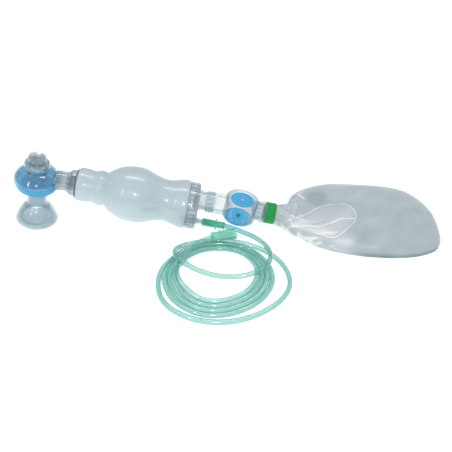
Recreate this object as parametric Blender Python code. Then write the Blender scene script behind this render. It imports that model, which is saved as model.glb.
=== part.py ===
"""Bag valve mask, infant size: silicone squeeze bag, patient valve with round
mask, rear inlet with reservoir valve, reservoir bag and oxygen tube.

Lengths are in millimetres in this file and are scaled to metres by MM.
The rigid assembly is drawn straight in its own frame: the squeeze bag's axis
is X, the patient valve's axis is Z, and the two cross at the origin.  The
empty "resting_frame" then leans it to the attitude in which it lies on a
table, on the mask's rim, the rear cap and the reservoir bag.
"""
import bpy
import bmesh
import math
from mathutils import Vector, Matrix

# ---------------------------------------------------------------- dimensions
MM = 0.001
GAP = 0.3                    # clearance between neighbouring pieces

LEAN = 11.91                 # degrees, nose down of the bag's axis when at rest
AXIS_HEIGHT = 72.25          # crossing of the two axes above the table
MID_X = 238.48               # plan centre of the object without its cord
MID_Y = 4.15

# patient valve (about Z)
HOUSING_R = 28.4             # widest radius of the two housings
HOUSING_SPLIT = -2.6         # parting height of the upper and lower housing
SIDE_TUBE_R = 12.5           # tube from the valve toward the bag
PORT_R = 10.75               # 22 mm male cone, outer radius
PORT_BORE_R = 7.6            # 15 mm female cone
PORT_END = -41.0
RELIEF_R = 15.4
KNOB_R = 9.9
MASK_R = 26.9                # mask's widest radius
MASK_NECK_R = 12.1
RIM_Z = -66.5

# squeeze bag (about X)
BAG_START = 51.5
BAG_END = 192.5
BALL_R = 36.2
BAG_WALL = 2.4
NECK_BORE_R = 17.9
TAIL_BORE_R = 27.5
CAP_R = 30.3
CAP_END = 206.0

# rear inlet and reservoir valve
INLET_UP = 10.66             # the inlet's axis lies this far above the bag's
INLET_R = 13.3
SOCKET_R = 15.2
DRUM_X = 260.9
DRUM_R = 21.6
DRUM_LOW = -4.3
DRUM_HIGH = 25.6
OUTLET_R = 12.3
TAPE_START = 293.0
TAPE_END = 306.3
TAPE_R = 13.9

# oxygen nipple, on the rear cap (offsets across the bag's axis)
NIPPLE_Y = -15.5
NIPPLE_Z = -11.7
TUBE_R = 3.25                # oxygen tube, 6.5 mm outside

# coil of oxygen tube, lying on the table
COIL_X = 235.0
COIL_Y = -100.8
COIL_OUTER = 67.2
COIL_INNER = 42.0
COIL_HIGH = 10.5

# ------------------------------------------------------------------- helpers
for old in list(bpy.data.objects):
    bpy.data.objects.remove(old, do_unlink=True)

scene = bpy.context.scene


def empty(name, location, rotation=(0.0, 0.0, 0.0), parent=None):
    ob = bpy.data.objects.new(name, None)
    ob.empty_display_size = 0.02
    scene.collection.objects.link(ob)
    ob.parent = parent
    ob.location = Vector(location) * MM
    ob.rotation_euler = rotation
    return ob


resting_frame = empty("resting_frame", (-MID_X, -MID_Y, AXIS_HEIGHT),
                      (0.0, math.radians(LEAN), 0.0))
table_frame = empty("table_frame", (-MID_X, -MID_Y, 0.0))
ALONG_X = (0.0, math.radians(90.0), 0.0)      # turns a piece's own Z to X


def material(name, colour, roughness=0.3, metallic=0.0, alpha=1.0):
    mat = bpy.data.materials.new(name)
    mat.use_nodes = True
    bsdf = mat.node_tree.nodes["Principled BSDF"]
    bsdf.inputs["Base Color"].default_value = (*colour, 1.0)
    bsdf.inputs["Roughness"].default_value = roughness
    bsdf.inputs["Metallic"].default_value = metallic
    bsdf.inputs["Alpha"].default_value = alpha
    mat.diffuse_color = (*colour, alpha)
    return mat


CLEAR = (0.78, 0.85, 0.88)
FROST = (0.66, 0.76, 0.80)
BLUE = (0.10, 0.45, 0.78)
GREEN = (0.13, 0.62, 0.42)


def piece(name, bm, mat, parent, location=(0, 0, 0), rotation=(0, 0, 0)):
    mesh = bpy.data.meshes.new(name)
    bm.to_mesh(mesh)
    bm.free()
    mesh.shade_smooth()
    mesh.set_sharp_from_angle(angle=math.radians(35.0))
    ob = bpy.data.objects.new(name, mesh)
    scene.collection.objects.link(ob)
    ob.data.materials.append(mat)
    ob.parent = parent
    ob.location = Vector(location) * MM
    ob.rotation_euler = rotation
    return ob


def turned(profile, seg=20):
    """Solid of revolution about Z. profile is (radius, height); it is a closed
    loop, or it starts and ends on the axis."""
    bm = bmesh.new()
    verts = [bm.verts.new((r * MM, 0.0, z * MM)) for r, z in profile]
    edges = [bm.edges.new((a, b)) for a, b in zip(verts, verts[1:])]
    if profile[0][0] > 0.0 or profile[-1][0] > 0.0:
        edges.append(bm.edges.new((verts[-1], verts[0])))
    bmesh.ops.spin(bm, geom=verts + edges, axis=(0, 0, 1), cent=(0, 0, 0),
                   angle=math.tau, steps=seg, use_merge=True)
    bmesh.ops.remove_doubles(bm, verts=bm.verts, dist=1e-6)
    bmesh.ops.recalc_face_normals(bm, faces=bm.faces)
    return bm


def rod(radius, z0, z1, seg=20):
    return turned([(0, z0), (radius, z0), (radius, z1), (0, z1)], seg)


def cutter(name, bm, parent, location=(0, 0, 0), rotation=(0, 0, 0)):
    mesh = bpy.data.meshes.new(name)
    bm.to_mesh(mesh)
    bm.free()
    ob = bpy.data.objects.new(name, mesh)
    scene.collection.objects.link(ob)
    ob.parent = parent
    ob.location = Vector(location) * MM
    ob.rotation_euler = rotation
    ob.hide_render = True
    ob.display_type = 'WIRE'
    return ob


def boolean(target, tool, operation):
    mod = target.modifiers.new(operation.lower() + "_" + tool.name, 'BOOLEAN')
    mod.object = tool
    mod.operation = operation
    mod.solver = 'EXACT'
    return mod


def ring_of(count, radius, make, start=0.0):
    """Copies of a small solid, evenly spaced on a circle about Z."""
    bm = bmesh.new()
    for k in range(count):
        a = start + math.tau * k / count
        part = make()
        part.transform(Matrix.Rotation(a, 4, 'Z')
                       @ Matrix.Translation((radius * MM, 0, 0)))
        tmp = bpy.data.meshes.new("tmp")
        part.to_mesh(tmp)
        part.free()
        bm.from_mesh(tmp)
        bpy.data.meshes.remove(tmp)
    return bm


def box(x0, x1, y0, y1, z0, z1):
    bm = bmesh.new()
    bmesh.ops.create_cube(bm, size=1.0)
    for v in bm.verts:
        v.co = Vector(((x0 + x1) / 2 + v.co.x * (x1 - x0),
                       (y0 + y1) / 2 + v.co.y * (y1 - y0),
                       (z0 + z1) / 2 + v.co.z * (z1 - z0))) * MM
    return bm


def smooth_path(points, spacing):
    """Evenly spaced points on a Catmull-Rom curve through points (mm)."""
    pts = [Vector(p) for p in points]
    pts = [pts[0] * 2 - pts[1]] + pts + [pts[-1] * 2 - pts[-2]]
    dense = []
    for i in range(1, len(pts) - 2):
        a, b, c, d = pts[i - 1], pts[i], pts[i + 1], pts[i + 2]
        for k in range(20):
            t = k / 20.0
            dense.append(0.5 * ((2 * b) + (c - a) * t
                                + (2 * a - 5 * b + 4 * c - d) * t * t
                                + (3 * b - a - 3 * c + d) * t ** 3))
    dense.append(pts[-2])
    length = [0.0]
    for a, b in zip(dense, dense[1:]):
        length.append(length[-1] + (b - a).length)
    n = max(2, round(length[-1] / spacing))
    out, j = [], 0
    for k in range(n + 1):
        s = length[-1] * k / n
        while j < len(length) - 2 and length[j + 1] < s:
            j += 1
        f = (s - length[j]) / max(length[j + 1] - length[j], 1e-9)
        out.append(dense[j].lerp(dense[j + 1], min(max(f, 0.0), 1.0)))
    return out


def tube(name, points, radius, mat, parent, spacing=14.0, resolution=2):
    curve = bpy.data.curves.new(name, 'CURVE')
    curve.dimensions = '3D'
    curve.bevel_depth = radius * MM
    curve.bevel_resolution = resolution
    curve.use_fill_caps = True
    path = smooth_path(points, spacing)
    spline = curve.splines.new('POLY')
    spline.points.add(len(path) - 1)
    for sp, p in zip(spline.points, path):
        sp.co = (*(p * MM), 1.0)
    ob = bpy.data.objects.new(name, curve)
    scene.collection.objects.link(ob)
    curve.materials.append(mat)
    ob.parent = parent
    return ob


# ------------------------------------------------------------- patient valve
# It swivels on the bag's neck, so its frame stands on that axis.
valve_frame = empty("patient_valve_frame", (0, 0, 0), parent=resting_frame)

clear_plastic = material("clear_plastic", CLEAR, 0.08, alpha=0.35)
upper = piece("valve_upper_housing", turned([
    (0, HOUSING_SPLIT), (HOUSING_R, HOUSING_SPLIT), (HOUSING_R, -0.8),
    (27.4, 1.8), (25.2, 5.0), (22.3, 8.0), (19.0, 10.2), (15.6, 11.6),
    (0, 11.6)], 20), clear_plastic, valve_frame)
side_tube = cutter("side_tube_form", rod(SIDE_TUBE_R, 12.0, 39.0), valve_frame,
                   rotation=ALONG_X)
side_spigot = cutter("side_spigot_form", rod(10.3, 30.0, 47.0), valve_frame,
                     rotation=ALONG_X)
# the lower housing's room, which the side tube passes over
below = cutter("lower_housing_room", rod(HOUSING_R + GAP, -30.0,
                                         HOUSING_SPLIT, 20), valve_frame)
dome_room = cutter("dome_room", turned([
    (0, -5.0), (24.6, -5.0), (24.6, -0.6), (23.8, 2.0), (21.6, 5.4),
    (18.6, 8.2), (15.0, 9.9), (0, 9.9)], 20), valve_frame)
relief_room = cutter("relief_housing_room", rod(17.4, 11.63, 24.0, 20),
                     valve_frame)
relief_seat_hole = cutter("relief_seat_hole", rod(6.0, 5.0, 14.0, 16),
                          valve_frame)
# the bore is full inside the tube and half height over the lower housing
tube_bore = cutter("side_tube_bore", rod(8.9, 30.6, 50.0), valve_frame,
                   rotation=ALONG_X)
half_bore = cutter("side_half_bore", box(18.0, 32.0, -8.6, 8.6, -0.6, 7.4),
                   valve_frame)
boolean(upper, side_tube, 'UNION')
boolean(upper, side_spigot, 'UNION')
boolean(upper, below, 'DIFFERENCE')
boolean(upper, relief_room, 'DIFFERENCE')
boolean(upper, dome_room, 'DIFFERENCE')
boolean(upper, tube_bore, 'DIFFERENCE')
boolean(upper, half_bore, 'DIFFERENCE')
boolean(upper, relief_seat_hole, 'DIFFERENCE')

lower = piece("valve_lower_housing", turned([
    (24.8, -3.0), (27.9, -3.0), (27.9, -8.5), (26.4, -9.1), (26.2, -13.6),
    (21.6, -14.6), (21.2, -18.4), (19.2, -19.9), (11.9, -19.9),
    (11.9, -18.2), (19.0, -18.2), (19.6, -13.2), (23.9, -12.0),
    (24.6, -8.5)], 20), material("blue_plastic", BLUE, 0.15, alpha=0.7),
    valve_frame)
exhale_holes = cutter("exhale_holes", ring_of(
    6, 16.2, lambda: rod(1.4, -22.0, -16.0, 8)), valve_frame)
boolean(lower, exhale_holes, 'DIFFERENCE')

membrane_frame = empty("exhalation_membrane_frame", (0, 0, 0),
                       parent=valve_frame)
piece("exhalation_membrane", turned([
    (13.6, -17.9), (18.4, -17.9), (18.4, -17.2), (13.6, -17.2)], 20),
    material("membrane_silicone", (0.80, 0.84, 0.84), 0.5), membrane_frame)

lip_frame = empty("lip_valve_frame", (0, 0, 0), parent=valve_frame)
piece("lip_valve", turned([
    (0, -15.2), (1.4, -15.2), (6.2, -9.2), (19.0, -9.2), (19.0, -8.2),
    (5.6, -8.2), (0.7, -14.0), (0, -14.0)], 20),
    material("lip_silicone", (0.82, 0.86, 0.86), 0.5), lip_frame)

port_frame = empty("patient_connector_frame", (0, 0, 0), parent=valve_frame)
piece("patient_connector", turned([
    (9.4, -9.6), (9.4, -16.8), (13.2, -16.8), (13.2, -17.8), (11.5, -17.8),
    (11.5, -20.6), (PORT_R, -20.8), (PORT_R - 0.25, PORT_END + 0.6),
    (PORT_R - 0.8, PORT_END), (PORT_BORE_R, PORT_END), (PORT_BORE_R, -9.6)],
    20), material("clear_port", CLEAR, 0.08, alpha=0.35), port_frame)

mask_frame = empty("face_mask_frame", (0, 0, 0), parent=port_frame)
piece("face_mask", turned([
    (11.1, -21.2), (MASK_NECK_R, -21.2), (MASK_NECK_R, -40.6),
    (13.8, -42.6), (17.6, -46.8), (21.6, -53.0), (24.9, -59.4),
    (26.6, -64.0), (MASK_R, RIM_Z), (26.3, -67.9), (24.6, -68.3),
    (21.0, -66.9), (18.2, -64.6), (18.9, -63.9), (21.8, -65.5),
    (24.2, -66.3), (24.9, -65.2), (23.2, -60.0), (20.0, -53.9),
    (16.2, -48.0), (12.8, -43.6), (11.1, -41.6)], 20),
    material("mask_silicone", (0.70, 0.78, 0.80), 0.2, alpha=0.5), mask_frame)

# pressure relief valve on top of the upper housing
relief = piece("relief_valve_housing", turned([
    (12.6, 11.9), (17.0, 11.9), (17.0, 13.6), (RELIEF_R, 14.2),
    (15.2, 17.2), (13.8, 19.8), (12.2, 21.6), (11.4, 22.2), (4.0, 22.2),
    (4.0, 20.8), (10.6, 20.8), (12.6, 18.6), (13.4, 15.0)], 20),
    material("clear_relief", CLEAR, 0.08, alpha=0.35), valve_frame)
relief_slots = cutter("relief_slots", ring_of(
    4, 14.6, lambda: box(-4.0, 4.0, -1.7, 1.7, 15.2, 18.2),
    start=math.radians(45.0)), valve_frame)
boolean(relief, relief_slots, 'DIFFERENCE')

disc_frame = empty("relief_valve_disc_frame", (0, 0, 0), parent=valve_frame)
piece("relief_valve_disc", turned([
    (0, 11.9), (8.0, 11.9), (8.0, 13.2), (1.3, 13.6), (1.3, 23.4),
    (0, 23.4)], 16), material("relief_disc_plastic", (0.75, 0.80, 0.83), 0.3),
    disc_frame)

# coil spring between the relief disc and the housing's top
turns, wire = 4.5, 0.45
lift0, lift1, spring_r = 13.95 + wire, 20.5 - wire, 5.8
steps = int(turns * 10)
helix = [(spring_r * math.cos(math.tau * turns * k / steps),
          spring_r * math.sin(math.tau * turns * k / steps),
          lift0 + (lift1 - lift0) * k / steps) for k in range(steps + 1)]
spring_curve = bpy.data.curves.new("relief_valve_spring", 'CURVE')
spring_curve.dimensions = '3D'
spring_curve.bevel_depth = wire * MM
spring_curve.bevel_resolution = 0
spring_curve.use_fill_caps = True
sp = spring_curve.splines.new('POLY')
sp.points.add(steps)
for point, p in zip(sp.points, helix):
    point.co = (*(Vector(p) * MM), 1.0)
spring = bpy.data.objects.new("relief_valve_spring", spring_curve)
scene.collection.objects.link(spring)
spring_curve.materials.append(material("spring_steel", (0.6, 0.6, 0.6), 0.3,
                                       1.0))
spring.parent = valve_frame

knob_frame = empty("relief_knob_frame", (0, 0, 0), parent=valve_frame)
knob = piece("relief_knob", turned([
    (1.9, 21.0), (3.7, 21.0), (3.7, 24.4), (9.2, 24.4), (KNOB_R, 25.6),
    (KNOB_R, 28.8), (9.2, 30.1), (7.9, 30.1), (7.6, 26.4), (3.6, 26.0),
    (3.4, 28.6), (2.4, 28.6), (1.9, 28.0)], 20),
    material("clear_knob", CLEAR, 0.1, alpha=0.5), knob_frame)
knob_notch = cutter("knob_notch", box(-2.2, 2.2, -14.0, 14.0, 28.0, 34.0),
                    knob_frame)
boolean(knob, knob_notch, 'DIFFERENCE')

# ---------------------------------------------------------------- squeeze bag
piece("bag_neck_connector", turned([
    (10.7, 39.4), (14.0, 39.4), (14.0, 41.4), (15.6, 41.6), (15.6, 44.4),
    (17.3, 44.6), (17.3, 51.1), (17.5, 51.4), (17.5, 74.0), (15.0, 74.0),
    (15.0, 49.0), (10.7, 48.0), (10.7, 44.0), (12.4, 44.0), (12.4, 41.0),
    (10.7, 41.0)], 20), material("clear_neck", CLEAR, 0.1, alpha=0.5),
    resting_frame, rotation=ALONG_X)
piece("swivel_seal_ring", turned([
    (10.6, 41.4), (11.9, 41.4), (12.1, 42.0), (12.1, 43.1), (11.9, 43.6),
    (10.6, 43.6)], 20), material("seal_rubber", (0.25, 0.27, 0.29), 0.6),
    resting_frame, rotation=ALONG_X)

piece("squeeze_bag", turned([
    (NECK_BORE_R, BAG_START), (20.3, BAG_START), (21.6, 54.0), (21.8, 60.0),
    (20.4, 70.5), (22.6, 78.5), (22.7, 82.5), (21.6, 86.5), (25.2, 91.5),
    (32.0, 102.5), (35.4, 113.5), (BALL_R, 122.5), (35.2, 133.5),
    (31.7, 145.5), (28.2, 156.0), (27.2, 165.0), (30.6, 180.0),
    (31.8, 189.0), (30.9, BAG_END), (TAIL_BORE_R, BAG_END),
    (TAIL_BORE_R, 184.0), (24.8, 165.0), (27.2, 152.0), (32.8, 132.0),
    (33.6, 119.0), (27.5, 98.5), (19.4, 86.5), (NECK_BORE_R, 76.0)], 24),
    material("frosted_silicone", FROST, 0.45), resting_frame,
    rotation=ALONG_X)

# ---------------------------------------------------- rear cap and intake valve
cap = piece("rear_cap", turned([
    (24.6, 184.5), (27.2, 184.5), (27.2, 192.8), (29.9, 192.8),
    (CAP_R, 193.8), (CAP_R, 205.0), (29.5, CAP_END), (0, CAP_END),
    (0, 203.8), (24.6, 203.8)], 24),
    material("clear_cap", CLEAR, 0.1, alpha=0.4), resting_frame,
    rotation=ALONG_X)
inlet_at = (0, 0, INLET_UP)
boolean(cap, cutter("inlet_form", turned([
    (0, 204.0), (INLET_R, 204.0), (INLET_R, 215.0), (12.5, 215.0),
    (12.5, 226.0), (0, 226.0)]), resting_frame, inlet_at, ALONG_X), 'UNION')
boolean(cap, cutter("inlet_bore", rod(10.6, 200.0, 230.0), resting_frame,
                    inlet_at, ALONG_X), 'DIFFERENCE')
boolean(cap, cutter("nipple_hole", rod(3.4, 200.0, 210.0, 12), resting_frame,
                    (0, NIPPLE_Y, NIPPLE_Z), ALONG_X), 'DIFFERENCE')

seat = piece("intake_valve_seat", turned([
    (1.3, 201.6), (12.9, 201.6), (12.9, 203.5), (1.3, 203.5)], 20),
    material("seat_plastic", (0.75, 0.82, 0.85), 0.2), resting_frame,
    inlet_at, ALONG_X)
boolean(seat, cutter("seat_holes", ring_of(
    6, 7.4, lambda: rod(2.5, 198.0, 206.0, 8)), resting_frame, inlet_at,
    ALONG_X), 'DIFFERENCE')

intake_frame = empty("intake_flap_frame", inlet_at, parent=resting_frame)
piece("intake_flap", turned([
    (0, 199.7), (12.0, 200.3), (12.0, 201.3), (1.0, 201.3), (1.0, 205.0),
    (0, 205.0)], 20), material("flap_silicone", BLUE, 0.4), intake_frame,
    rotation=ALONG_X)

piece("oxygen_nipple", turned([
    (1.6, 201.0), (4.5, 201.0), (4.5, 203.4), (3.1, 203.4), (3.1, 208.0),
    (4.0, 208.4), (4.0, 210.0), (3.1, 210.4), (2.9, 214.0), (2.9, 224.0),
    (2.5, 226.0), (1.6, 226.0)], 12), material("clear_nipple", CLEAR, 0.1,
                                               alpha=0.5),
    resting_frame, (0, NIPPLE_Y, NIPPLE_Z), ALONG_X)

# --------------------------------------------------------------- reservoir valve
drum_at = (DRUM_X, 0, 0)
drum = piece("reservoir_valve_body", rod(DRUM_R, DRUM_LOW + 0.9,
                                         DRUM_HIGH - 0.9, 24),
             material("clear_drum", CLEAR, 0.08, alpha=0.35), resting_frame,
             drum_at)
boolean(drum, cutter("socket_form", rod(SOCKET_R, 215.3, 250.0),
                     resting_frame, inlet_at, ALONG_X), 'UNION')
boolean(drum, cutter("outlet_form", turned([
    (0, 270.0), (OUTLET_R, 270.0), (OUTLET_R, 288.2), (14.8, 288.4),
    (14.8, 290.6), (OUTLET_R, 290.8), (OUTLET_R, 305.8), (0, 305.8)]),
    resting_frame, inlet_at, ALONG_X), 'UNION')
boolean(drum, cutter("top_cover_room", rod(DRUM_R + GAP, DRUM_HIGH - 1.8,
                                           DRUM_HIGH + 4, 24),
                     resting_frame, drum_at), 'DIFFERENCE')
boolean(drum, cutter("bottom_cover_room", rod(DRUM_R + GAP, DRUM_LOW - 4,
                                              DRUM_LOW + 1.8, 24),
                     resting_frame, drum_at), 'DIFFERENCE')
boolean(drum, cutter("drum_room", rod(19.4, -10.0, 40.0, 24),
                     resting_frame, drum_at), 'DIFFERENCE')
boolean(drum, cutter("socket_bore", turned([
    (0, 210.0), (12.8, 210.0), (12.8, 226.6), (10.6, 226.6), (10.6, 250.0),
    (0, 250.0)]), resting_frame, inlet_at, ALONG_X), 'DIFFERENCE')
boolean(drum, cutter("outlet_bore", rod(10.4, 270.0, 311.0),
                     resting_frame, inlet_at, ALONG_X), 'DIFFERENCE')

top_cover = piece("air_inlet_cover", turned([
    (0, 20.4), (1.7, 20.4), (1.7, DRUM_HIGH - 1.5), (DRUM_R, DRUM_HIGH - 1.5),
    (DRUM_R, DRUM_HIGH - 0.6), (20.8, DRUM_HIGH), (0, DRUM_HIGH)], 24),
    material("clear_top_cover", CLEAR, 0.08, alpha=0.35), resting_frame,
    drum_at)
boolean(top_cover, cutter("top_cover_holes", ring_of(
    6, 8.4, lambda: rod(3.2, 22.5, 30.0, 8)), resting_frame, drum_at),
    'DIFFERENCE')
air_frame = empty("air_inlet_flap_frame", drum_at, parent=resting_frame)
piece("air_inlet_flap", turned([
    (2.0, 23.0), (15.2, 23.0), (15.2, 23.8), (2.0, 23.8)], 20),
    material("blue_flap", BLUE, 0.35), air_frame)

bottom_cover = piece("overflow_cover", turned([
    (0, DRUM_LOW), (20.8, DRUM_LOW), (DRUM_R, DRUM_LOW + 0.6),
    (DRUM_R, DRUM_LOW + 1.5), (0, DRUM_LOW + 1.5)], 24),
    material("clear_bottom_cover", CLEAR, 0.08, alpha=0.35), resting_frame,
    drum_at)
boolean(bottom_cover, cutter("overflow_post", rod(1.7, -8.6, -3.5, 16),
                             resting_frame, drum_at), 'UNION')
boolean(bottom_cover, cutter("bottom_cover_holes", ring_of(
    6, 9.6, lambda: rod(3.6, -8.0, 0.0, 8)), resting_frame, drum_at),
    'DIFFERENCE')
over_frame = empty("overflow_flap_frame", drum_at, parent=resting_frame)
piece("overflow_flap", turned([
    (2.0, -5.4), (18.4, -5.4), (18.4, -4.6), (2.0, -4.6)], 20),
    material("blue_overflow_flap", BLUE, 0.35), over_frame)

piece("green_tape_band", turned([
    (12.7, TAPE_START), (TAPE_R, TAPE_START), (TAPE_R, TAPE_END),
    (12.7, TAPE_END)], 20), material("green_tape", (0.02, 0.45, 0.08), 0.5),
    resting_frame, inlet_at, ALONG_X)

# ----------------------------------------------------------------- reservoir bag
# A flat film bag lying on the table. Its stations run from the gathered neck
# to the rounded end: x, middle y, half width, half thickness, underside.
STATIONS = [
    (303.0, 0.0, 12.6, 12.6, 6.6),
    (308.5, -1.4, 15.4, 13.3, 5.0),
    (313.0, -2.4, 18.8, 13.8, 3.8),
    (317.5, -2.8, 23.2, 14.3, 2.6),
    (321.5, -1.0, 30.5, 14.5, 1.8),
    (326.0, 2.4, 38.2, 14.5, 1.1),
    (332.0, 5.0, 46.2, 14.3, 0.6),
    (340.0, 6.0, 53.4, 14.0, 0.2),
    (356.0, 7.2, 63.6, 13.4, 0.05),
    (378.0, 7.0, 71.5, 12.8, 0.05),
    (404.0, 5.2, 75.0, 12.4, 0.05),
    (430.0, 3.8, 75.7, 12.0, 0.05),
    (454.0, 3.8, 74.6, 11.2, 0.05),
    (474.0, 4.4, 70.8, 10.0, 0.05),
    (490.0, 4.8, 63.8, 8.4, 0.05),
    (503.0, 3.0, 52.0, 6.4, 0.05),
    (512.0, 3.6, 37.0, 4.2, 0.05),
    (517.0, 4.2, 20.0, 2.0, 0.05),
]


def film_bag(stations, seg=20):
    bm = bmesh.new()
    lean = math.radians(LEAN)
    rings = []
    for x, y, w, h, low in stations:
        ring = []
        for k in range(seg):
            a = math.tau * k / seg
            up = h * math.sin(a)
            # the neck's first stations stand square to the leaning outlet
            blend = max(0.0, 1.0 - (x - stations[0][0]) / 30.0)
            ring.append(bm.verts.new((
                (x + up * math.sin(lean) * blend) * MM,
                (y + w * math.cos(a)) * MM,
                (low + h + up) * MM)))
        rings.append(ring)
    for a, b in zip(rings, rings[1:]):
        for k in range(seg):
            j = (k + 1) % seg
            bm.faces.new((a[k], a[j], b[j], b[k]))
    bm.faces.new(rings[0])
    bm.faces.new(rings[-1])
    bmesh.ops.recalc_face_normals(bm, faces=bm.faces)
    return bm


piece("reservoir_bag", film_bag(STATIONS),
      material("clear_film", (0.72, 0.77, 0.80), 0.3, alpha=0.5), table_frame)

# ------------------------------------------------------------------ oxygen tube
tube_green = material("tube_green", GREEN, 0.25, alpha=0.8)
piece("near_tube_connector", turned([
    (3.3, 215.0), (4.7, 215.0), (4.7, 232.0), (7.4, 232.4), (7.4, 234.4),
    (4.3, 235.2), (4.2, 244.7), (3.5, 244.7), (3.5, 227.0), (3.3, 226.6)],
    16), material("near_connector_green", (0.05, 0.50, 0.30), 0.3),
    resting_frame, (0, NIPPLE_Y, NIPPLE_Z), ALONG_X)

lean = math.radians(LEAN)


def to_table(x, y, z):
    """From the straight assembly's frame to the table's frame."""
    return (x * math.cos(lean) + z * math.sin(lean), y,
            AXIS_HEIGHT - x * math.sin(lean) + z * math.cos(lean))


lead_a = to_table(245.0, NIPPLE_Y, NIPPLE_Z)
lead_b = to_table(249.0, NIPPLE_Y - 0.1, NIPPLE_Z)
tube("oxygen_tube_lead", [
    lead_a, lead_b, (252.0, -17.4, 6.4), (262.0, -21.2, 4.6),
    (272.5, -27.6, 3.7), (282.0, -36.4, 3.6), (289.6, -46.8, 3.8),
    (295.4, -58.4, 4.2), (299.6, -70.4, 4.6), (302.6, -80.6, 4.8)],
    TUBE_R, tube_green, table_frame, 9.0)

coil = piece("oxygen_tube_coil", turned([
    (COIL_INNER, 2.2), (COIL_INNER + 2.0, 0.1), (COIL_OUTER - 2.0, 0.1),
    (COIL_OUTER, 2.2), (COIL_OUTER, COIL_HIGH - 2.5),
    (COIL_OUTER - 2.5, COIL_HIGH), (COIL_INNER + 2.5, COIL_HIGH),
    (COIL_INNER, COIL_HIGH - 2.5)], 28), tube_green, table_frame,
    (COIL_X, COIL_Y, 0))

tube("oxygen_tube_outer_loop", [
    (163.6, -99.0, 3.6), (162.0, -112.0, 3.5), (163.4, -128.0, 3.5),
    (170.0, -143.5, 3.5), (182.0, -156.8, 3.5), (198.0, -166.6, 3.5),
    (216.0, -172.6, 3.5), (234.0, -174.8, 3.5), (252.0, -173.0, 3.5),
    (270.0, -166.4, 3.5), (287.0, -156.4, 3.5), (301.5, -144.4, 3.5),
    (312.4, -129.6, 3.5), (318.4, -113.6, 3.5), (318.2, -98.4, 3.5),
    (312.6, -84.0, 3.6), (309.6, -78.4, 3.6)],
    TUBE_R, tube_green, table_frame, 9.0)

FAR_END = (222.6, -48.9, 17.6)      # tube side of the loose connector
FAR_YAW = math.radians(22.5)
piece("far_tube_connector", turned([
    (3.5, 0.0), (5.2, 0.0), (5.2, 9.6), (6.6, 10.0), (6.6, 12.0),
    (5.3, 12.6), (5.0, 14.0), (5.9, 30.0), (5.9, 31.6), (4.8, 31.6),
    (4.6, 19.0), (3.5, 15.0)], 18),
    material("far_connector_green", (0.15, 0.60, 0.42), 0.3), table_frame,
    FAR_END, (0.0, math.radians(90.0), FAR_YAW))
back = Vector((-math.cos(FAR_YAW), -math.sin(FAR_YAW), 0))
tail0 = Vector(FAR_END) + back * 0.3
tail1 = Vector(FAR_END) + back * 5.0
tube("oxygen_tube_tail", [
    tuple(tail0), tuple(tail1), (208.6, -56.4, 16.6), (199.6, -62.4, 15.0),
    (192.4, -68.6, 14.3)], TUBE_R, tube_green, table_frame, 7.0)
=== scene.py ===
import bpy
import math
from mathutils import Vector, Matrix, noise


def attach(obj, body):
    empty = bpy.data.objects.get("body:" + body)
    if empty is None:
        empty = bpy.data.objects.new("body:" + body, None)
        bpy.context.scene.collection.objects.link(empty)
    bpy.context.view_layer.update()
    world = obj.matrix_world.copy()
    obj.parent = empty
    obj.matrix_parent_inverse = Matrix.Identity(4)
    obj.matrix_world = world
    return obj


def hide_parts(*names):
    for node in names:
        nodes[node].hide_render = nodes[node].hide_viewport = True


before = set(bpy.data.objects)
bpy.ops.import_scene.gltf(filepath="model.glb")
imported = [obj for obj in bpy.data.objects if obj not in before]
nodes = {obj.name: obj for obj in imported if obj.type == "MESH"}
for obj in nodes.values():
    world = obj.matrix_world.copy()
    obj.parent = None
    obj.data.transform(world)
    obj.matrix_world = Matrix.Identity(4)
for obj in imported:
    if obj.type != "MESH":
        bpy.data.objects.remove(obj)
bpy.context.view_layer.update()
scene = bpy.context.scene

# ------------------------------------------------------------------ frame
# Lengths below are millimetres.  D() takes a point of the straight assembly
# (bag axis X, valve axis Z), T() one of the table, to the row frame in metres.
LEAN = math.radians(11.91)
AXIS_HEIGHT, MID_X, MID_Y = 72.25, 238.48, 4.15
CL, SL = math.cos(LEAN), math.sin(LEAN)


def T(x, y, z):
    return Vector(((x - MID_X) * 0.001, (y - MID_Y) * 0.001, z * 0.001))


def D(x, y, z):
    return T(x * CL + z * SL, y, AXIS_HEIGHT - x * SL + z * CL)


# ------------------------------------------------------------------ camera
cam_data = bpy.data.cameras.new("camera")
cam_data.sensor_width = 36.0
cam_data.lens = 589.4 / 452.0 * 36.0
cam_data.clip_start, cam_data.clip_end = 0.02, 20.0
camera = bpy.data.objects.new("camera", cam_data)
camera.location = T(260.37, -605.32, 498.18)
camera.rotation_euler = (math.radians(50.4), 0.0, math.radians(2.05))
scene.collection.objects.link(camera)
scene.camera = camera

# ------------------------------------------------------------------- stage
scene.view_settings.view_transform = 'Standard'
scene.view_settings.look = 'None'
scene.cycles.transparent_max_bounces = 48        # many clear walls lie behind each other


def new_mat(name):
    mat = bpy.data.materials.new(name)
    mat.use_nodes = True
    nt = mat.node_tree
    nt.nodes.clear()
    return mat, nt, nt.nodes, nt.links


def srgb(r, g, b):
    f = lambda c: (c / 255.0 / 12.92 if c <= 10.3 else ((c / 255.0 + 0.055) / 1.055) ** 2.4)
    return (f(r), f(g), f(b))


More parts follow.
